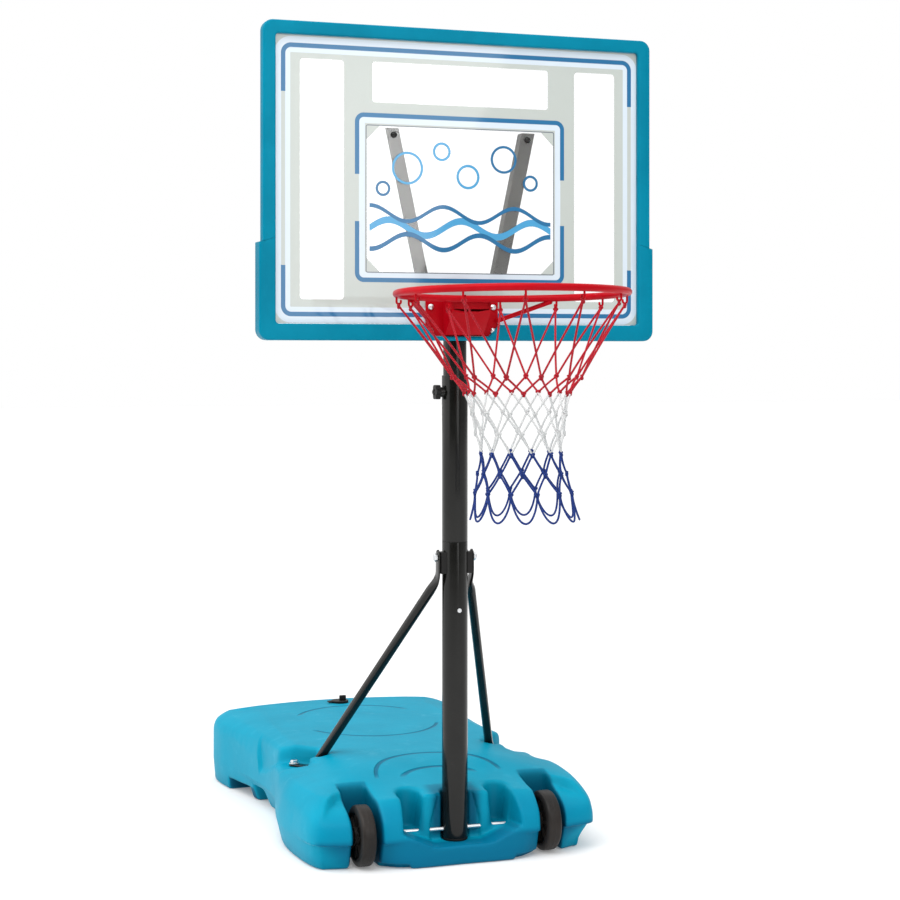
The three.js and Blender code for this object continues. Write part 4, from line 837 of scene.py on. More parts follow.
# %% Filler plug
def soft_block(low, high, soft=1.2, steps=4):
    """Points and quads of a block whose upright edges and top and bottom rims are rounded."""
    low, high = np.asarray(low, float), np.asarray(high, float)
    middle, half = (low + high) / 2, (high - low) / 2
    ring = soften([[-1, -1], [1, -1], [1, 1], [-1, 1]] * half[:2], soft, steps)
    bend = np.linspace(0, math.pi / 2, steps + 1)
    levels = [(-half[2], half.max() * 2)]
    levels += [(-half[2] + soft * (1 - np.cos(a)), soft * (1 - np.sin(a))) for a in bend]
    levels += [(half[2] - soft * (1 - np.cos(a)), soft * (1 - np.sin(a))) for a in bend[::-1]]
    levels += [(half[2], half.max() * 2)]
    rows = []
    for level, inset in levels:
        share = np.clip(1 - inset / half[:2], 0, 1)
        rows.append(np.column_stack([ring * share, np.full(len(ring), level)]))
    points = np.concatenate(rows) + middle
    faces = grid_faces(len(rows), len(ring))
    return points, outward(points, faces)


flange_line = [[0, 137.6], [13.7, 137.6], [13.7, 149.8], [18, 149.8], [18, 152.8], [0, 152.8]]
flange = spun(soften(flange_line, .9, 4, False), (6, 735, 0), (0, 0, 1), 64)
grip = soft_block((5, 732, 152.3), (19, 738, 162.8), 1.6)
tab = soft_block((-20, 728.5, 149.8), (6, 741.5, 152.3), 1.0)
piece("filler_plug", *together(flange, grip, tab), "fill_cap", black_plastic, ["fill_cap"])
nodes["cap_seal"].data.materials.clear()
nodes["cap_seal"].data.materials.append(seal_rubber)
print("plug points:", len(flange[0]) + len(grip[0]) + len(tab[0]))

# %% [markdown]
# ## Pole and struts
# Three tubes make the pole. The lower two are the same size and meet in a thin seam, where the
# middle one has a narrower spigot inside; the upper tube slides. Each tube's rim is rolled, so
# the profiles of the tubes have softened edges that catch a thin line of light.

# %% Pole
POLE = {
    "pole_lower": ("base", [[20.5, 38.6], [22.5, 38.6], [22.5, 552], [20.5, 552]]),
    "pole_middle": ("base", [[18.2, 400.3], [20.2, 400.3], [20.2, 552.3], [22.5, 552.3],
                             [22.5, 841], [20.5, 841], [20.5, 554.3], [18.2, 554.3]]),
    "pole_upper": ("head", [[18.4, 646], [20.2, 646], [20.2, 1008], [18.4, 1008]]),
}
cap_line = [[0, 994.3], [18.1, 994.3], [18.1, 1008.3], [20.2, 1008.3], [20.2, 1011.3], [0, 1011.3]]
plug_line = [[0, 34.3], [22.5, 34.3], [22.5, 38.3], [20.2, 38.3], [20.2, 78.3], [0, 78.3]]
parts = [(node + "_tube", closed(soften(line, 0.7, 4)), body_name, black_steel, node, 96)
         for node, (body_name, line) in POLE.items()]
parts += [("pole_cap_top", soften(cap_line, [0, .5, .5, .3, 1.6, 0], 4, False), "head",
           black_plastic, "pole_cap", 64),
          ("pole_foot_plug", soften(plug_line, .8, 4, False), "base",
           black_plastic, "pole_foot", 64)]
for name, line, body_name, finish, node, sides in parts:
    turned(name, line, (0, 0, 0), (0, 0, 1), body_name, finish, [node], sides)
print("tubes:", len(POLE))

# %% [markdown]
# **Height knob.** A lobed plastic knob on a threaded stem presses on the sliding tube. Its
# outline is a circle with a cosine wave of six lobes, and it turns with its own body.

# %% Height knob
def lobes(r, h, angle):
    """Six lobes on the knob's rim, 12% of the radius to each side; what is thin stays round."""
    return np.where(r > 6, r * (0.88 + 0.12 * np.cos(6 * angle)), r + 0 * angle)


KNOB = (-28.8, 0, 812)
knob_line = [[0, 0], [13.9, 0], [13.9, 8.9], [7.0, 8.9], [5.5, 7.6], [0, 7.6]]
stem_line = [[0, -8.5], [4, -8.5], [4, 4], [0, 4]]
head = spun(soften(knob_line, [0, 1.2, 2.2, .6, .6, 0], 5, False), KNOB, (-1, 0, 0), 96, lobes)
stem = spun(soften(stem_line, .5, 3, False), KNOB, (-1, 0, 0), 32)
piece("height_knob_grip", *together(head, stem), "height_knob", black_plastic, ["height_knob"])
print("knob lobes: 6")

# %% [markdown]
# **Struts.** A strut starts as a round tube and is pressed flat at both ends: upright against the
# saddle, level on the base. The path bends at the saddle and at the knee; along it the section
# changes from a thin flat to a round and back, and a power of 0.8 makes it a little boxy.

# %% Struts
def eased(reach, stops):
    """A value along the strut from pairs of place and value, with smooth steps between."""
    places, values = np.array(stops, float).T
    n = np.clip(np.searchsorted(places, reach) - 1, 0, len(places) - 2)
    t = np.clip((reach - places[n]) / (places[n + 1] - places[n]), 0, 1)
    t = t * t * (3 - 2 * t)
    return values[n] * (1 - t) + values[n + 1] * t


def strut(word, side):
    """Path: down the saddle, out to the knee, level to the foot.

    Half of the section is 8 by 8 mm in the round part and 10.5 by 2 mm in the flats.
    """
    corners = [[31.1, 0, 538], [31.1, 0, 495], [31.1, 9, 482], [174, 288, 114.3],
               [211.5, 324.5, 114.3]]
    path = soften(corners, [0, 16, 16, 16, 0], 6, False)
    path = spaced(path * (side, 1, 1), 150)
    reach = lengths(path)
    full = reach[-1]
    thin = [(0, 2), (44, 2), (82, 8), (full - 96, 8), (full - 58, 10.5), (full, 10.5)]
    wide = [(0, 10.5), (44, 10.5), (82, 8), (full - 96, 8), (full - 58, 2), (full, 2)]
    ends = np.clip(np.minimum(reach, full - reach) / 9, 0, 1)
    tip = np.sqrt(1 - (1 - ends) ** 2)
    a, b = eased(reach, thin), eased(reach, wide)
    a[reach > full / 2] *= tip[reach > full / 2]
    b[reach < full / 2] *= tip[reach < full / 2]
    points, faces = swept(path, a, b, (side, 0, 0), 32, 0.8)
    return piece(f"strut_tube_{word}", points, faces, "base", black_steel, [f"strut_{word}"])


for word, side in SIDES:
    strut(word, side)
print("struts: 2")

# %% [markdown]
# **Saddles, plates and bars** are cut blocks and folded sheets whose exact solids have the right
# shape but knife edges. A copy of the solid is merged and its flat parts made whole again, and a
# small bevel rounds its edges.

# %% Bevelled copies of exact solids
def bevelled(node, name, width, body, finish, segments=2):
    """A copy of a solid: points within 5 microns merged, faces within 2 degrees joined into one
    and edges past 38 degrees rounded over `width` millimetres."""
    mesh = nodes[node].data.copy()
    mesh.materials.clear()
    work = bmesh.new()
    work.from_mesh(mesh)
    bmesh.ops.remove_doubles(work, verts=work.verts, dist=5e-6)
    bmesh.ops.dissolve_limit(work, angle_limit=math.radians(2), verts=work.verts, edges=work.edges)
    work.to_mesh(mesh)
    work.free()
    made = finished(name, mesh, body, finish, [node], None, 34)
    bevel = made.modifiers.new("edges", "BEVEL")
    bevel.width, bevel.segments, bevel.limit_method = width * MM, segments, "ANGLE"
    bevel.angle_limit = math.radians(38)
    return made


for word in ("left", "right"):
    bevelled(f"strut_saddle_{word}", f"saddle_{word}", 1.4, "base", black_plastic)
    bevelled(f"bar_{word}", f"board_bar_{word}", 0.35, "head", grey_steel, 1)
bevelled("knob_boss", "knob_socket", 0.7, "base", black_steel)
bevelled("head_bracket", "head_plate", 0.45, "head", grey_steel)
bevelled("rim_bracket", "rim_plate", 0.6, "head", red_steel)
# Two thin sheets inside the rim's bracket: one backs its plate, one closes the slit in its box.
for name, low, high in (("rim_plate_back", (-50, -34.9, 909), (50, -34.3, 972)),
                        ("rim_box_face", (-34, -82.9, 954.5), (34, -81.9, 969.4))):
    piece(name, *soft_block(low, high, 0.2, 1), "head", red_steel)
bevelled("snap_button", "snap_button_leaf", 0.2, "snap_button", zinc_steel, 1)
print("bevelled copies: 8")

# %% [markdown]
# **Bolts and nuts.** A bolt's head is a chamfered hexagon or a low dome, and its end shows a real
# thread: the radius there rises and falls with a wave that runs round and along together.

# %% Bolts, nuts and washers
def thread(low, high, pitch=1.5, depth=0.28):
    """Radius of a thread between two heights: a wave over height plus one turn."""
    def shape(r, h, angle):
        """The radius, less the depth, plus a wave of that depth, where the thread lies."""
        wave = depth * np.cos(TURN * h / pitch - angle)
        return r + np.where((h > low) & (h < high) & (r > 1), wave - depth, 0.0)
    return shape


# A hexagon's corners stand out by 1.155 times its flats, so its profile goes nearly that far.
CORNER = 1.14
# Profiles of the two kinds of head and of a nut, as shares of the flat and of the height.
DOME = [[0, 1], [.35, .96], [.75, .68], [.97, .25], [1, 0]]
HEAD = [[0, .96], [.5, .96], [.9, 1], [CORNER, .86], [CORNER, .1], [1, 0], [0, 0]]
NUT = [[.94, 0], [CORNER, .13], [CORNER, .87], [.94, 1]]


def bolt(name, body, node, origin, axis, flat, head, shank, length, finish=zinc_steel, dome=False):
    """A bolt whose head stands on `origin` along `axis` and whose shank runs the other way."""
    top = [[r * flat, h * head] for r, h in (DOME if dome else HEAD)]
    if dome:
        cap = spun(top + [[shank, 0], [0, 0]], origin, axis, 48)
    else:
        cap = spun(top, origin, axis, 48, hexagon(flat))
    start = -length * .3
    turns = np.arange(start - .375, -length + 1, -.375)
    heights = np.concatenate([[0, start], turns, [-length + .8]])
    line = [[0, 0]] + [[shank, h] for h in heights] + [[shank * .8, -length], [0, -length]]
    stem = spun(line, origin, axis, 24, thread(-length + .7, start - .1))
    return piece(name, *together(cap, stem), body, finish, [node], angle=35)


def nut(name, body, node, origin, axis, flat, high, hole):
    """A nut: a hexagon chamfered on both faces, with a bore."""
    ring = [[hole, 0]] + [[r * flat, h * high] for r, h in NUT] + [[hole, high], [hole, 0]]
    return piece(name, *spun(ring, origin, axis, 48, hexagon(flat)), body, zinc_steel, [node],
                 angle=35)


for word, side in SIDES:
    spot = (side * FOOT_X, FOOT_Y, 0)
    turned(f"foot_washer_{word}", bore_ring(4.3, 10, 116.6, 118.1, .3), spot, (0, 0, 1), "base",
           zinc_steel, [f"strut_foot_washer_{word}"], 48)
    turned(f"foot_insert_{word}", bore_ring(4.3, 7, 88, 112, .3), spot, (0, 0, 1), "base",
           zinc_steel, [f"strut_foot_insert_{word}"], 32)
    bolt(f"foot_bolt_{word}", "base", f"strut_foot_bolt_{word}", (side * FOOT_X, FOOT_Y, 118.4),
         (0, 0, 1), 6.5, 5, 4, 27)
bolt("saddle_bolt", "base", "strut_top_bolt", (-33.4, 0, 525), (-1, 0, 0), 6.5, 5, 4, 73.8)
nut("saddle_nut", "base", "strut_top_nut", (33.4, 0, 525), (1, 0, 0), 6.5, 5, 4.3)
for word, level in (("lower", 956), ("upper", 988)):
    bolt(f"head_pin_{word}", "head", f"head_bolt_{word}", (-23.8, 0, level), (-1, 0, 0),
         6.5, 5, 4, 54.6)
    nut(f"head_pin_nut_{word}", "head", f"head_nut_{word}", (23.8, 0, level), (1, 0, 0),
        6.5, 5, 4.3)
# The bars lean outwards: 54 mm from the middle at 930 mm high, 71 mm more at 334 mm above that.
BAR_BOLT_Z = 1252
bar_x = 54 + 71 * (BAR_BOLT_Z - 930) / 334
rows = [("rim", k, x_bolt, z_bolt, -37.6, 18.4, -24.5, zinc_steel)
        for k, (x_bolt, z_bolt) in enumerate(((-57, 918), (-57, 959), (57, 918), (57, 959)), 1)]
rows += [("bar", k, side * bar_x, BAR_BOLT_Z, -34.3, 11.7, -27.9, black_steel)
         for k, (_, side) in enumerate(SIDES, 1)]
for word, k, x_bolt, z_bolt, front, length, rear, finish in rows:
    bolt(f"{word}_screw_{k}", "head", f"{word}_bolt_{k}", (x_bolt, front, z_bolt), (0, -1, 0),
         5.5, 3.6, 3, length, finish, dome=True)
    nut(f"{word}_screw_nut_{k}", "head", f"{word}_nut_{k}", (x_bolt, rear, z_bolt), (0, 1, 0),
        4.8, 5, 3.3)
shown = [o.name for o in bpy.data.objects if not o.hide_render]
print("screws and nuts:", sum("screw" in name or "bolt" in name for name in shown))

# %% [markdown]
# ## The board
# The frame is one moulding. Its face is a flat band with soft edges, and its lower part is a
# wider, deeper pad. The band lies between two rounded rectangles that have the same number of
# points, so a section can be carried from one pair of points to the next, all the way round.

# %% Board frame
def rounded_box(left, right, low, high, radius, corner_steps, side_steps):
    """Points round a rectangle, from the lower left corner, with the same count for any size."""
    turns = np.linspace(math.pi, 1.5 * math.pi, corner_steps)
    centres = [(left, low, 1, 1), (right, low, -1, 1), (right, high, -1, -1), (left, high, 1, -1)]
    line = []
    for k, (cx, cz, sx, sz) in enumerate(centres):
        bend = turns + k * math.pi / 2
        line.append(np.stack([cx + sx * radius + radius * np.cos(bend),
                              cz + sz * radius + radius * np.sin(bend)], 1))
    parts = []
    for k in range(4):
        start, end = line[k][-1], line[(k + 1) % 4][0]
        parts += [line[k], start + np.linspace(0, 1, side_steps + 2)[1:-1, None] * (end - start)]
    return np.concatenate(parts)


def stops(low, high, marks, count):
    """Shares along a side, some of them placed just before and after each mark."""
    share = np.linspace(0, 1, count + 2)[1:-1]
    for mark in marks:
        near = np.abs(share - (mark - low) / (high - low)).argsort()[:2]
        share[np.sort(near)] = (mark - low) / (high - low) + np.array([-1, 1]) * 0.4 / (high - low)
    return np.sort(share)


SIDE_STEPS, PAD_TOP = 60, 1065


def board_frame():
    """Two loops, outer and inner, with the same stations, and the depth of the back at each.

    Below PAD_TOP the frame is a pad: 6 mm wider on each side and 11 mm deeper. In the middle of
    the lower side the band is cut down to `notch` for the rim's plate.
    """
    outer = rounded_box(-354, 354, 901, 1436, 18, 12, SIDE_STEPS)
    inner = rounded_box(-331.5, 331.5, 929, 1413.5, 6, 12, SIDE_STEPS)
    notch, thin = 66.3, 70.0
    for start, (a0, a1), marks in (
            (12, (-336, 336), (-notch, notch, -thin, thin)), (84, (919, 1418), (PAD_TOP,)),
            (156, (336, -336), ()), (228, (1418, 919), (PAD_TOP,))):
        share = stops(a0, a1, marks, SIDE_STEPS)[:, None]
        for ring in (outer, inner):
            first, last = ring[start - 1], ring[(start + SIDE_STEPS) % len(ring)]
            ring[start:start + SIDE_STEPS] = first + share * (last - first)
    low, across = outer[:, 1] < PAD_TOP, np.abs(outer[:, 0])
    pad, corner = low & (across > 340), low & (across > 330) & (across <= 340)
    outer[pad, 0] += np.sign(outer[pad, 0]) * 6
    outer[corner, 0] *= 1 + 0.018 * (across[corner] - 330) / 10
    inner[(inner[:, 1] < 930) & (np.abs(inner[:, 0]) < notch), 1] = 908.7
    shallow = (np.abs(outer[:, 0]) < thin) & (outer[:, 1] < 902)
    return outer, inner, np.where(low & ~shallow, -13.5, -24.5)


def banded(outer, inner, back, front, soft):
    """Rows of points from the outer back edge over the face to the inner back edge."""
    width = np.linalg.norm(inner - outer, axis=1)
    bend = np.linspace(0, math.pi / 2, 6)
    at = lambda off: outer + (inner - outer) * (off / width)[:, None]
    row = lambda off, deep: np.column_stack([at(off)[:, 0], deep + 0 * width, at(off)[:, 1]])
    curve = [(soft * (1 - np.cos(a)), front + soft * (1 - np.sin(a))) for a in bend]
    edge = 0.8
    rows = [row(0 * width + edge, back), row(0 * width, back - edge)]
    rows += [row(off + 0 * width, deep) for off, deep in curve]
    rows += [row(width - off, deep) for off, deep in curve[::-1]]
    rows += [row(width, back - edge), row(width - edge, back)]
    points = np.stack(rows, 1)
    faces = grid_faces(points.shape[0], points.shape[1], close_rows=True)
    points = points.reshape(-1, 3)
    return points, outward(points, faces)


outer, inner, back = board_frame()
piece("board_rim_frame", *banded(outer, inner, back, -43.5, 3.2), "head", frame_plastic,
      ["backboard_frame"], angle=50)
print("frame stations:", len(outer))

# %% [markdown]
# **The clear sheet** is plastic as clear as glass: its shader lets light through and mirrors the
# room, so the pale glare across it is a lamp's reflection and moves as the eye moves.

# %% Clear sheet
def clear_sheet():
    """Clear plastic with a faint wave in its surface."""
    made = Finish("clear_sheet")
    where = made.here()
    wave = made.noise(where, 3.0, 1.0)
    return made.shade(
        base_color=made.mix(made.noise(where, 2.0), (0.98, 0.99, 1, 1), (1, 1, 1, 1)),
        roughness=0.02 + 0.02 * made.noise(where, 40.0), transmission_weight=1.0, IOR=1.49,
        normal=made.bump(wave, 0.0006, 0.3))


def slab_grid(left, right, low, high, front, back, radius, edge=0.4):
    """A flat sheet with rounded corners, softened edges and closed faces."""
    ring = rounded_box(left, right, low, high, radius, 8, 6)
    middle = ring.mean(0)
    far = np.abs(ring - middle).max()
    inset = lambda off: middle + (ring - middle) * (1 - off / far)
    row = lambda off, y: np.insert(inset(off), 1, y, axis=1)
    rows = [row(off, front) for off in (far, 3, edge)] + [row(0, front + edge), row(0, back - edge)]
    rows += [row(off, back) for off in (edge, 3, far)]
    points = np.concatenate(rows)
    faces = grid_faces(len(rows), len(ring))
    return points, outward(points, faces)


piece("clear_panel", *slab_grid(-332, 332, 928.4, 1414, -34, -31, 6), "head", clear_sheet(),
      ["backboard_panel"])
print("sheet thickness: 3 mm")

# %% [markdown]
# **The print** lies on the sheet's front. It is one film whose colour and alpha are sums of
# distances from rounded boxes: a frosted ground with clear windows, blue stripes with pale
# bands beside them, and in the target window a plain design of waves and bubbles.

# %% Print on the sheet
def print_film():
    """Colour and alpha of the print from distances, in metres, over the board's x and z."""
    made = Finish("board_print")
    where = made.here()
    x, _, z = made.parts(where)

    def box(cx, cz, half_x, half_z, radius):
        """Distance from a rounded box: negative inside, measured past its straight sides."""
        qx, qz = abs(x - cx) - (half_x - radius), abs(z - cz) - (half_z - radius)
        out = ((qx.above(0.0) ** 2.0) + (qz.above(0.0) ** 2.0)).root()
        return out + qx.above(qz).below(0.0) - radius

    def inside(distance, soft=0.0004):
        """1 where a distance is negative, 0 where it is positive, with an edge of 0.8 mm."""
        return distance.fade(-soft, soft)

    def line(distance, half):
        """A line along the places where a distance is 0, `half` of its width to each side."""
        return inside(abs(distance) - half)

    windows = inside(box(-0.2495, 1.17225, 0.0385, 0.20225, 0.006))
    windows = windows.above(inside(box(0.2495, 1.17225, 0.0385, 0.20225, 0.006)))
    windows = windows.above(inside(box(0.0, 1.3405, 0.161, 0.0345, 0.005)))
    target = box(0.0, 1.142, 0.172, 0.125, 0.003)
    chamfer = (abs(x) + abs(z - 1.142)) - 0.272
    clear_target = inside(target) * inside(chamfer)
    # Blue stripes round the board and round the target, both open at their sides.
    outer = box(0.0, 1.1705, 0.317, 0.2255, 0.014)
    inner = box(0.0, 1.144, 0.188, 0.140, 0.012)
    outer_gap = abs(z - 1.1725).fade(0.1450, 0.1458) * abs(x).step(0.30, 0.301)
    inner_gap = abs(z - 1.1433).fade(0.0395, 0.0403) * abs(x).step(0.18, 0.181)
    stripe = 0.0039
    blue = (line(outer, stripe) * (1.0 - outer_gap)).above(line(inner, stripe) * (1.0 - inner_gap))
    band = line(outer - 0.009, 0.0056).above(line(inner + 0.0085, 0.0052))
    band = band.above(line(outer + 0.0078, 0.0044))
    grey = line(target, 0.0009)

    def wave(level, half, shift):
        """A line along a sine of 13 mm swing and 131 mm length, kept inside the target."""
        crest = z - level - ((x + shift) * 48.0).sine() * 0.013
        return line(crest, half) * inside(target + 0.006)

    def bubble(cx, cz, radius):
        """A ring: a line where the distance from its centre is its radius."""
        return line(((x - cx) ** 2.0 + (z - cz) ** 2.0).root() - radius, 0.0022)

    deep_art = wave(1.070, 0.0042, 0.0).above(wave(1.118, 0.0036, 0.066))
    pale_art = wave(1.094, 0.0060, 0.033)
    for place in ((-0.098, 1.196, 0.026), (-0.036, 1.226, 0.014), (0.012, 1.184, 0.019)):
        pale_art = pale_art.above(bubble(*place))
    for place in ((0.078, 1.216, 0.022), (0.128, 1.176, 0.012), (-0.142, 1.160, 0.011)):
        deep_art = deep_art.above(bubble(*place))
    grain = made.noise(where, 700.0, 2.0)
    clouds = made.noise(where, 6.0, 3.0)
    frosted = (1.0 - windows) * (1.0 - clear_target)
    colour = made.mix(clouds * 0.5 + grain * 0.5, paint(166, 173, 168), paint(180, 186, 181))
    colour = made.mix(band, colour, paint(196, 208, 218))
    colour = made.mix(pale_art, colour, paint(60, 146, 192))
    colour = made.mix(blue.above(deep_art), colour, paint(0, 96, 142))
    colour = made.mix(grey, colour, paint(96, 104, 112))
    alpha = (frosted * (0.92 + 0.05 * clouds)).above(band * 0.9)
    for ink in (blue, deep_art, pale_art, grey):
        alpha = alpha.above(ink)
    return made.shade(base_color=colour, alpha=alpha, roughness=0.55 + 0.2 * grain, coat_weight=0.7,
                      coat_roughness=0.05, normal=made.bump(grain, 0.0001, 0.4))


def flat_grid(left, right, low, high, y, columns, rows):
    """A flat grid of points at one depth, facing the front."""
    gx, gz = np.meshgrid(np.linspace(left, right, columns), np.linspace(low, high, rows))
    points = np.stack([gx, np.full_like(gx, y), gz], -1).reshape(-1, 3)
    return points, grid_faces(rows, columns, close_columns=False)


points, faces = flat_grid(-331, 331, 929.5, 1413, -34.15, 23, 17)
piece("board_print", points, faces, "head", print_film(), slot="clear_sheet", merge=False)
print("print size:", np.ptp(points, axis=0)[[0, 2]].tolist(), "mm")

# %% [markdown]
# ## Rim
# The rim is a bent steel tube welded to a plate. Twelve wire hooks hang under it for the net.
# The ring is a circle swept round a circle, and tipped by a hair, as the photograph shows it.

# %% Rim, hooks and braces
RIM = np.array([0, -275, 975.7])
RIM_RADIUS, RIM_TUBE, TILT = 186.5, 6, 0.021


def tipped(points):
    """Turns points about the line through the rim's centre, front edge up by the tilt."""
    off = points - RIM
    y = off[..., 1] * math.cos(TILT) + off[..., 2] * math.sin(TILT)
    z = -off[..., 1] * math.sin(TILT) + off[..., 2] * math.cos(TILT)
    return RIM + np.stack([off[..., 0], y, z], -1)


def ring_at(turn, radius, level):
    """Points on a circle about the rim's axis."""
    return np.stack(np.broadcast_arrays(
        radius * np.cos(turn), RIM[1] + radius * np.sin(turn), level), -1)


stations, sides = 192, 24
turn_a, turn_b = np.meshgrid(
    np.arange(stations) / stations * TURN, np.arange(sides) / sides * TURN, indexing="ij")
tube = ring_at(turn_a, RIM_RADIUS + RIM_TUBE * np.cos(turn_b),
               RIM[2] + RIM_TUBE * np.sin(turn_b)).reshape(-1, 3)
rim_tube = (tube, outward(tube, grid_faces(stations, sides, close_rows=True)))

# A hook goes down from the tube, round a half circle of 3.5 mm and up to an open tip.
LOOPS, HOOK = 12, 3.5
hook_turns = (np.arange(LOOPS) + 0.5) / LOOPS * TURN
bend = np.linspace(-math.pi / 2, math.pi / 2, 12)
drop = np.concatenate([[971.5, 968, 965], 962.5 - HOOK * np.cos(bend), [964, 965.2, 965.8]])
reach = np.concatenate([[186.5] * 3, 183.0 - HOOK * np.sin(bend), [179.5] * 3])
hooks = ring_at(hook_turns[:, None], reach[None], drop[None])
side_way = np.stack([-np.sin(hook_turns), np.cos(hook_turns), 0 * hook_turns], -1)[:, None]
hook_half = np.r_[np.full(drop.size - 2, 1.8), 1.3, 0.05]
hook_tube = swept(hooks, hook_half, hook_half, side_way, 12)
points, faces = together(rim_tube, hook_tube)
piece("rim_hoop", tipped(points), faces, "head", red_steel, ["rim_ring"])
for word, side in SIDES:
    wall = np.array([side * 61.5, -41.6, 935.0])
    weld = tipped(ring_at(math.radians(90 - 42 * side), RIM_RADIUS, RIM[2] - RIM_TUBE))
    rod(f"brace_{word}", wall, weld + (weld - wall) * 0.01, 4, "head", red_steel,
        [f"rim_brace_{word}"], 24)
print("hooks:", len(hook_turns))

# %% [markdown]
# ## Net
# A hoop net is twenty-four cords: twelve wind one way round, twelve the other, and each crossing
# is a knot. The cords hang nearly straight between knots and the last row ends in open loops.
# Red, white and blue lengths are tied end to end, so each colour is a piece of its own.

# %% Net cords and knots
CORD = 1.75
NET_TOP, NET_LENGTH, SWING = 955.9, 344.9, 21.7
# Each row: its height, its radius and how far it is wound on, as a share of a loop.
ROWS = {
    "red": ("net_upper", red_cord, [(955.9, 183.0, 0), (841.05, 105.9, 0), (815.0, 86.0, 0)], 0),
    "white": ("net_middle", white_cord,
              [(815.0, 86.0, 0), (782.4, 77.4, -.06), (750.0, 71.6, -.13), (717.9, 66.8, -.19)], 2),
    "blue": ("net_lower", blue_cord,
             [(717.9, 66.8, -.19), (685.5, 72.0, -.19), (655.1, 80.6, -.19)], 5),
}


def net_axis(points):
    """The net's middle line at each point's height; the net hangs a little to one side."""
    swing = (NET_TOP - points[..., 2]) / NET_LENGTH * SWING
    return np.stack([swing, RIM[1] + 0 * swing, points[..., 2]], -1)


def from_axis(points):
    """Level unit vectors from the net's middle line out to the points."""
    return unit(points - net_axis(points))


def row_point(turn_step, level, radius, wind=0.0):
    """A point on a row of knots; turn_step counts loops. The top row follows the tilted rim."""
    spot = ring_at((turn_step + wind) / LOOPS * TURN, radius, level)
    spot[..., 0] += (NET_TOP - spot[..., 2]) / NET_LENGTH * SWING
    spot[..., 2] += (RIM[1] - spot[..., 1]) * TILT * np.clip((level - 841) / 115, 0, 1)
    return spot


def cord_paths(rows, first_row, steps=9, slack=1.6):
    """Paths of all twenty-four cords, from knot to knot, straight but for an inward sag.

    The sag is a parabola, `slack` deep in its middle, and a wave makes each cord's a little
    different.
    """
    start = np.arange(LOOPS)[:, None]
    paths = []
    for way in (-1, 1):
        knots = np.stack([row_point(start[:, 0] + ((first_row % 2) + way * n + 1) / 2, *row)
                          for n, row in enumerate(rows)], 1)
        t = np.linspace(0, 1, steps)[None, :, None]
        legs = []
        for n in range(len(rows) - 1):
            a, b = knots[:, n, None], knots[:, n + 1, None]
            leg = a + (b - a) * t
            deep = slack + 0.8 * np.sin(start[..., None] * 2.1 + n * 1.7 + way)
            sag = (4 * t * (1 - t)) * deep
            legs.append((leg - from_axis(leg) * sag)[:, :steps if n == len(rows) - 2 else -1])
        paths.append(np.concatenate(legs, 1))
    return np.concatenate(paths)


def cord_mesh(paths, sides=8):
    """Swept cords with a UV map: u runs once round the cord, v is the length along it in metres."""
    points, faces = swept(paths, CORD, CORD, from_axis(paths), sides)
    along = lengths(paths)[..., None] * MM
    u, v = np.broadcast_arrays(np.arange(sides) / sides, along)
    return points, faces, np.stack([u, v], -1).reshape(-1, 2)


def knot_mesh(spots, size=3.4, thick=1.7, stations=20, sides=6):
    """A small overhand knot at each spot: a closed three-lobed curve that crosses over itself.

    The curve adds a circle to a circle run twice as fast the other way; a wave of three turns
    lifts it over itself.
    """
    t = np.arange(stations) / stations * TURN
    curve = np.stack([np.sin(t) + 2 * np.sin(2 * t), np.cos(t) - 2 * np.cos(2 * t),
                      -1.15 * np.sin(3 * t)], -1) * size / 3
    out = from_axis(spots)
    up = np.array([0, 0, 1.0])
    along = np.cross(up, out)
    path = (spots[:, None] + curve[None, :, :1] * along[:, None]
            + curve[None, :, 1:2] * up * 1.15 + curve[None, :, 2:] * out[:, None])
    way = unit(np.roll(path, -1, 1) - np.roll(path, 1, 1))
    v = unit(np.cross(way, np.broadcast_to(out[:, None], way.shape) + 0.001))
    u = np.cross(v, way)
    a = np.arange(sides)[:, None] / sides * TURN
    round_it = np.cos(a) * u[:, :, None] + np.sin(a) * v[:, :, None]
    points = (path[:, :, None] + thick * round_it).reshape(-1, 3)
    faces = grid_faces(stations, sides, close_rows=True, copies=len(spots))
    lap = np.arange(len(points)) // sides % stations * (0.03 / stations)
    turn = np.arange(len(points)) % sides / sides
    return points, outward(points, faces), np.stack([turn, lap], 1)


def knots_of(rows, first_row, chosen):
    """Places of the knots on the chosen rows."""
    step = np.arange(LOOPS)
    return np.concatenate([row_point(step + ((first_row + n) % 2 + 1) / 2, *rows[n])
                           for n in chosen])


for word, (node, finish, rows, first_row) in ROWS.items():
    chosen = {"red": [0, 1, 2], "white": [1, 2], "blue": [0, 1, 2]}[word]
    parts = [cord_mesh(cord_paths(rows, first_row)), knot_mesh(knots_of(rows, first_row, chosen))]
    if word == "blue":
        # The last row ends in loops: half a sine wide, blunted by a power to hang fuller.
        level, radius, wind = rows[-1]
        turns = (np.arange(LOOPS) + ((first_row + 2) % 2 + 1) / 2)[:, None]
        share = np.linspace(0, 1, 27)[None]
        half_wave = np.sin(np.pi * share)
        loops = row_point(turns + share, level - 44.1 * half_wave ** 0.62,
                          radius + 7.6 * half_wave, wind)
        parts.append(cord_mesh(loops))
    points, faces, uv = together(*parts)
    piece(f"net_{word}", points, faces, "head", finish, [node], uv=uv, merge=False, angle=180)
    print(word, "cord triangles:", 2 * len(faces))

# %% [markdown]
# ## Floor and light
# A plain pale floor, a bright room and two large soft lamps. One hangs over the left; the other
# stands behind the camera, where the clear sheet mirrors it as a slanted glare. The room is
# brightest overhead and to the left, and a dark band lies behind the camera along the horizon:
# that draws the dark line down the middle of the round painted tubes. The floor glows by a hair,
# so that it fades into the pale room far away.

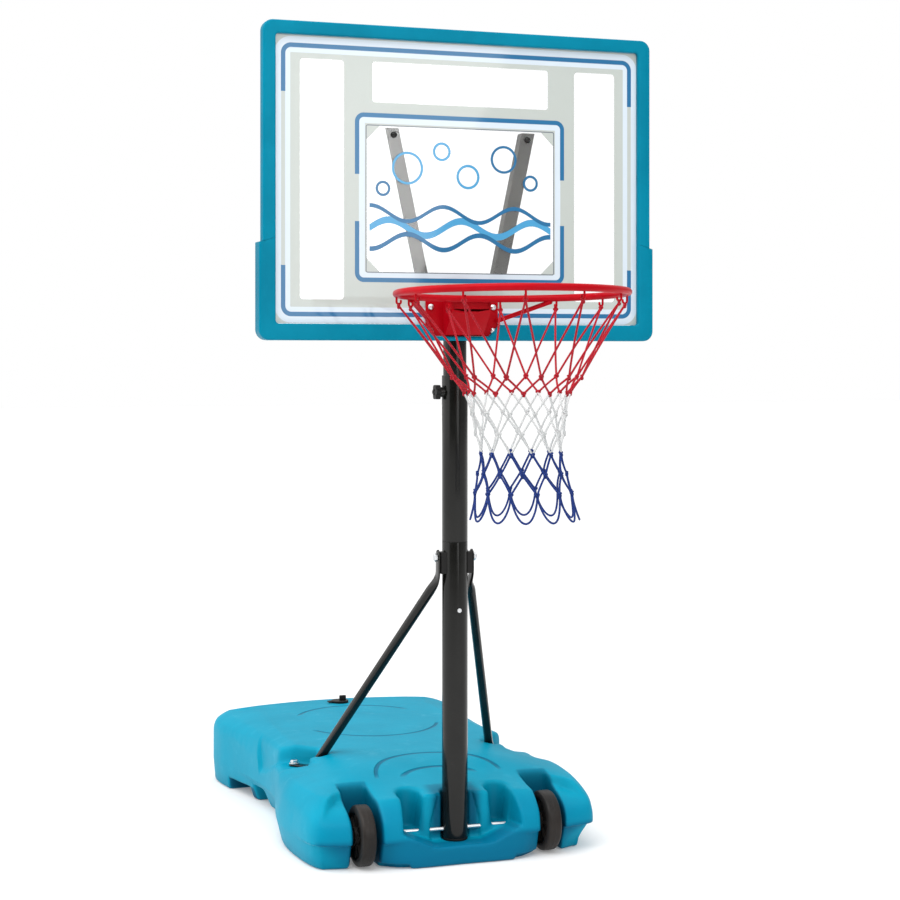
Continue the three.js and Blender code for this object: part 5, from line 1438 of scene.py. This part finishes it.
# %% Floor and light
floor_finish = Finish("floor")
floor_place = floor_finish.here()
floor_material = floor_finish.shade(
    base_color=floor_finish.mix(
        floor_finish.noise(floor_place, 3.0), (0.7, 0.7, 0.7, 1), (0.72, 0.72, 0.72, 1)),
    roughness=0.6 + 0.1 * floor_finish.noise(floor_place, 60.0), specular_ior_level=0.2,
    emission_color=(1, 1, 1, 1), emission_strength=0.17)
floor_mesh = bpy.data.meshes.new("floor")
FAR = 30
floor_mesh.from_pydata(
    [(-FAR, -FAR, 0), (FAR, -FAR, 0), (FAR, FAR, 0), (-FAR, FAR, 0)], [], [(0, 1, 2, 3)])
floor_mesh.materials.append(floor_material)
floor = bpy.data.objects.new("floor", floor_mesh)
bpy.context.scene.collection.objects.link(floor)

room = Finish("studio", bpy.data.worlds)
bpy.context.scene.world = room.made
towards = room.here("Generated")


def facing(way):
    """How nearly a ray looks along a way: the product of the two, 1 when they are one."""
    return room.node("ShaderNodeVectorMath", {"operation": "DOT_PRODUCT"},
                     {0: towards, 1: way}, out="Value")


_, _, up = room.parts(towards)
behind = facing((-math.sin(AIM), -math.cos(AIM), 0.03))
dark = behind.step(math.cos(math.radians(54)), math.cos(math.radians(42)))
dark = dark * abs(up).fade(0.24, 0.42)
left = facing((-0.95, 0.18, 0.26)).step(0.4, 0.88)
# The camera sees the room as plain white, and 1.12 times as bright through the clear sheet.
path = room.node("ShaderNodeLightPath", out="Is Camera Ray")
through = Wire(room, path.socket.node.outputs["Is Transmission Ray"])
seen = path.above(through * 1.12)
lit = (0.42 + 0.95 * up.step(0.0, 0.9) + 1.05 * left) * (1.0 - dark * 0.93)
strength = lit * (1.0 - seen).above(0.0) + seen
glow = room.node("ShaderNodeBackground", sockets={"Color": (1, 1, 1, 1), "Strength": strength})
sky = room.tree.nodes.new("ShaderNodeOutputWorld")
room.tree.links.new(glow.socket, sky.inputs["Surface"])


def lamp(name, place, aim, size, power):
    """A large soft lamp at a place, turned to shine at a point."""
    data = bpy.data.lights.new(name, "AREA")
    data.shape, data.size, data.size_y, data.energy = "RECTANGLE", *size, power
    made = bpy.data.objects.new(name, data)
    made.location = place
    way = np.subtract(aim, place)
    yaw, pitch = math.atan2(way[1], way[0]), math.atan2(way[2], math.hypot(way[0], way[1]))
    made.rotation_euler = (math.pi / 2 + pitch, 0, yaw - math.pi / 2)
    made.visible_camera = False
    bpy.context.scene.collection.objects.link(made)
    return made


lamp("lamp_top", (-1.2, -1.2, 3.4), (0, 0.2, 0.4), (2.4, 2.4), 60)
# The card is rolled by 0.38 radians, which slants the edge of the glare.
card = lamp("lamp_card", (0.86, -4.2, 1.906), (0.86, 0, 1.906), (1.4, 2.6), 38)
card.rotation_euler[1] = 0.380
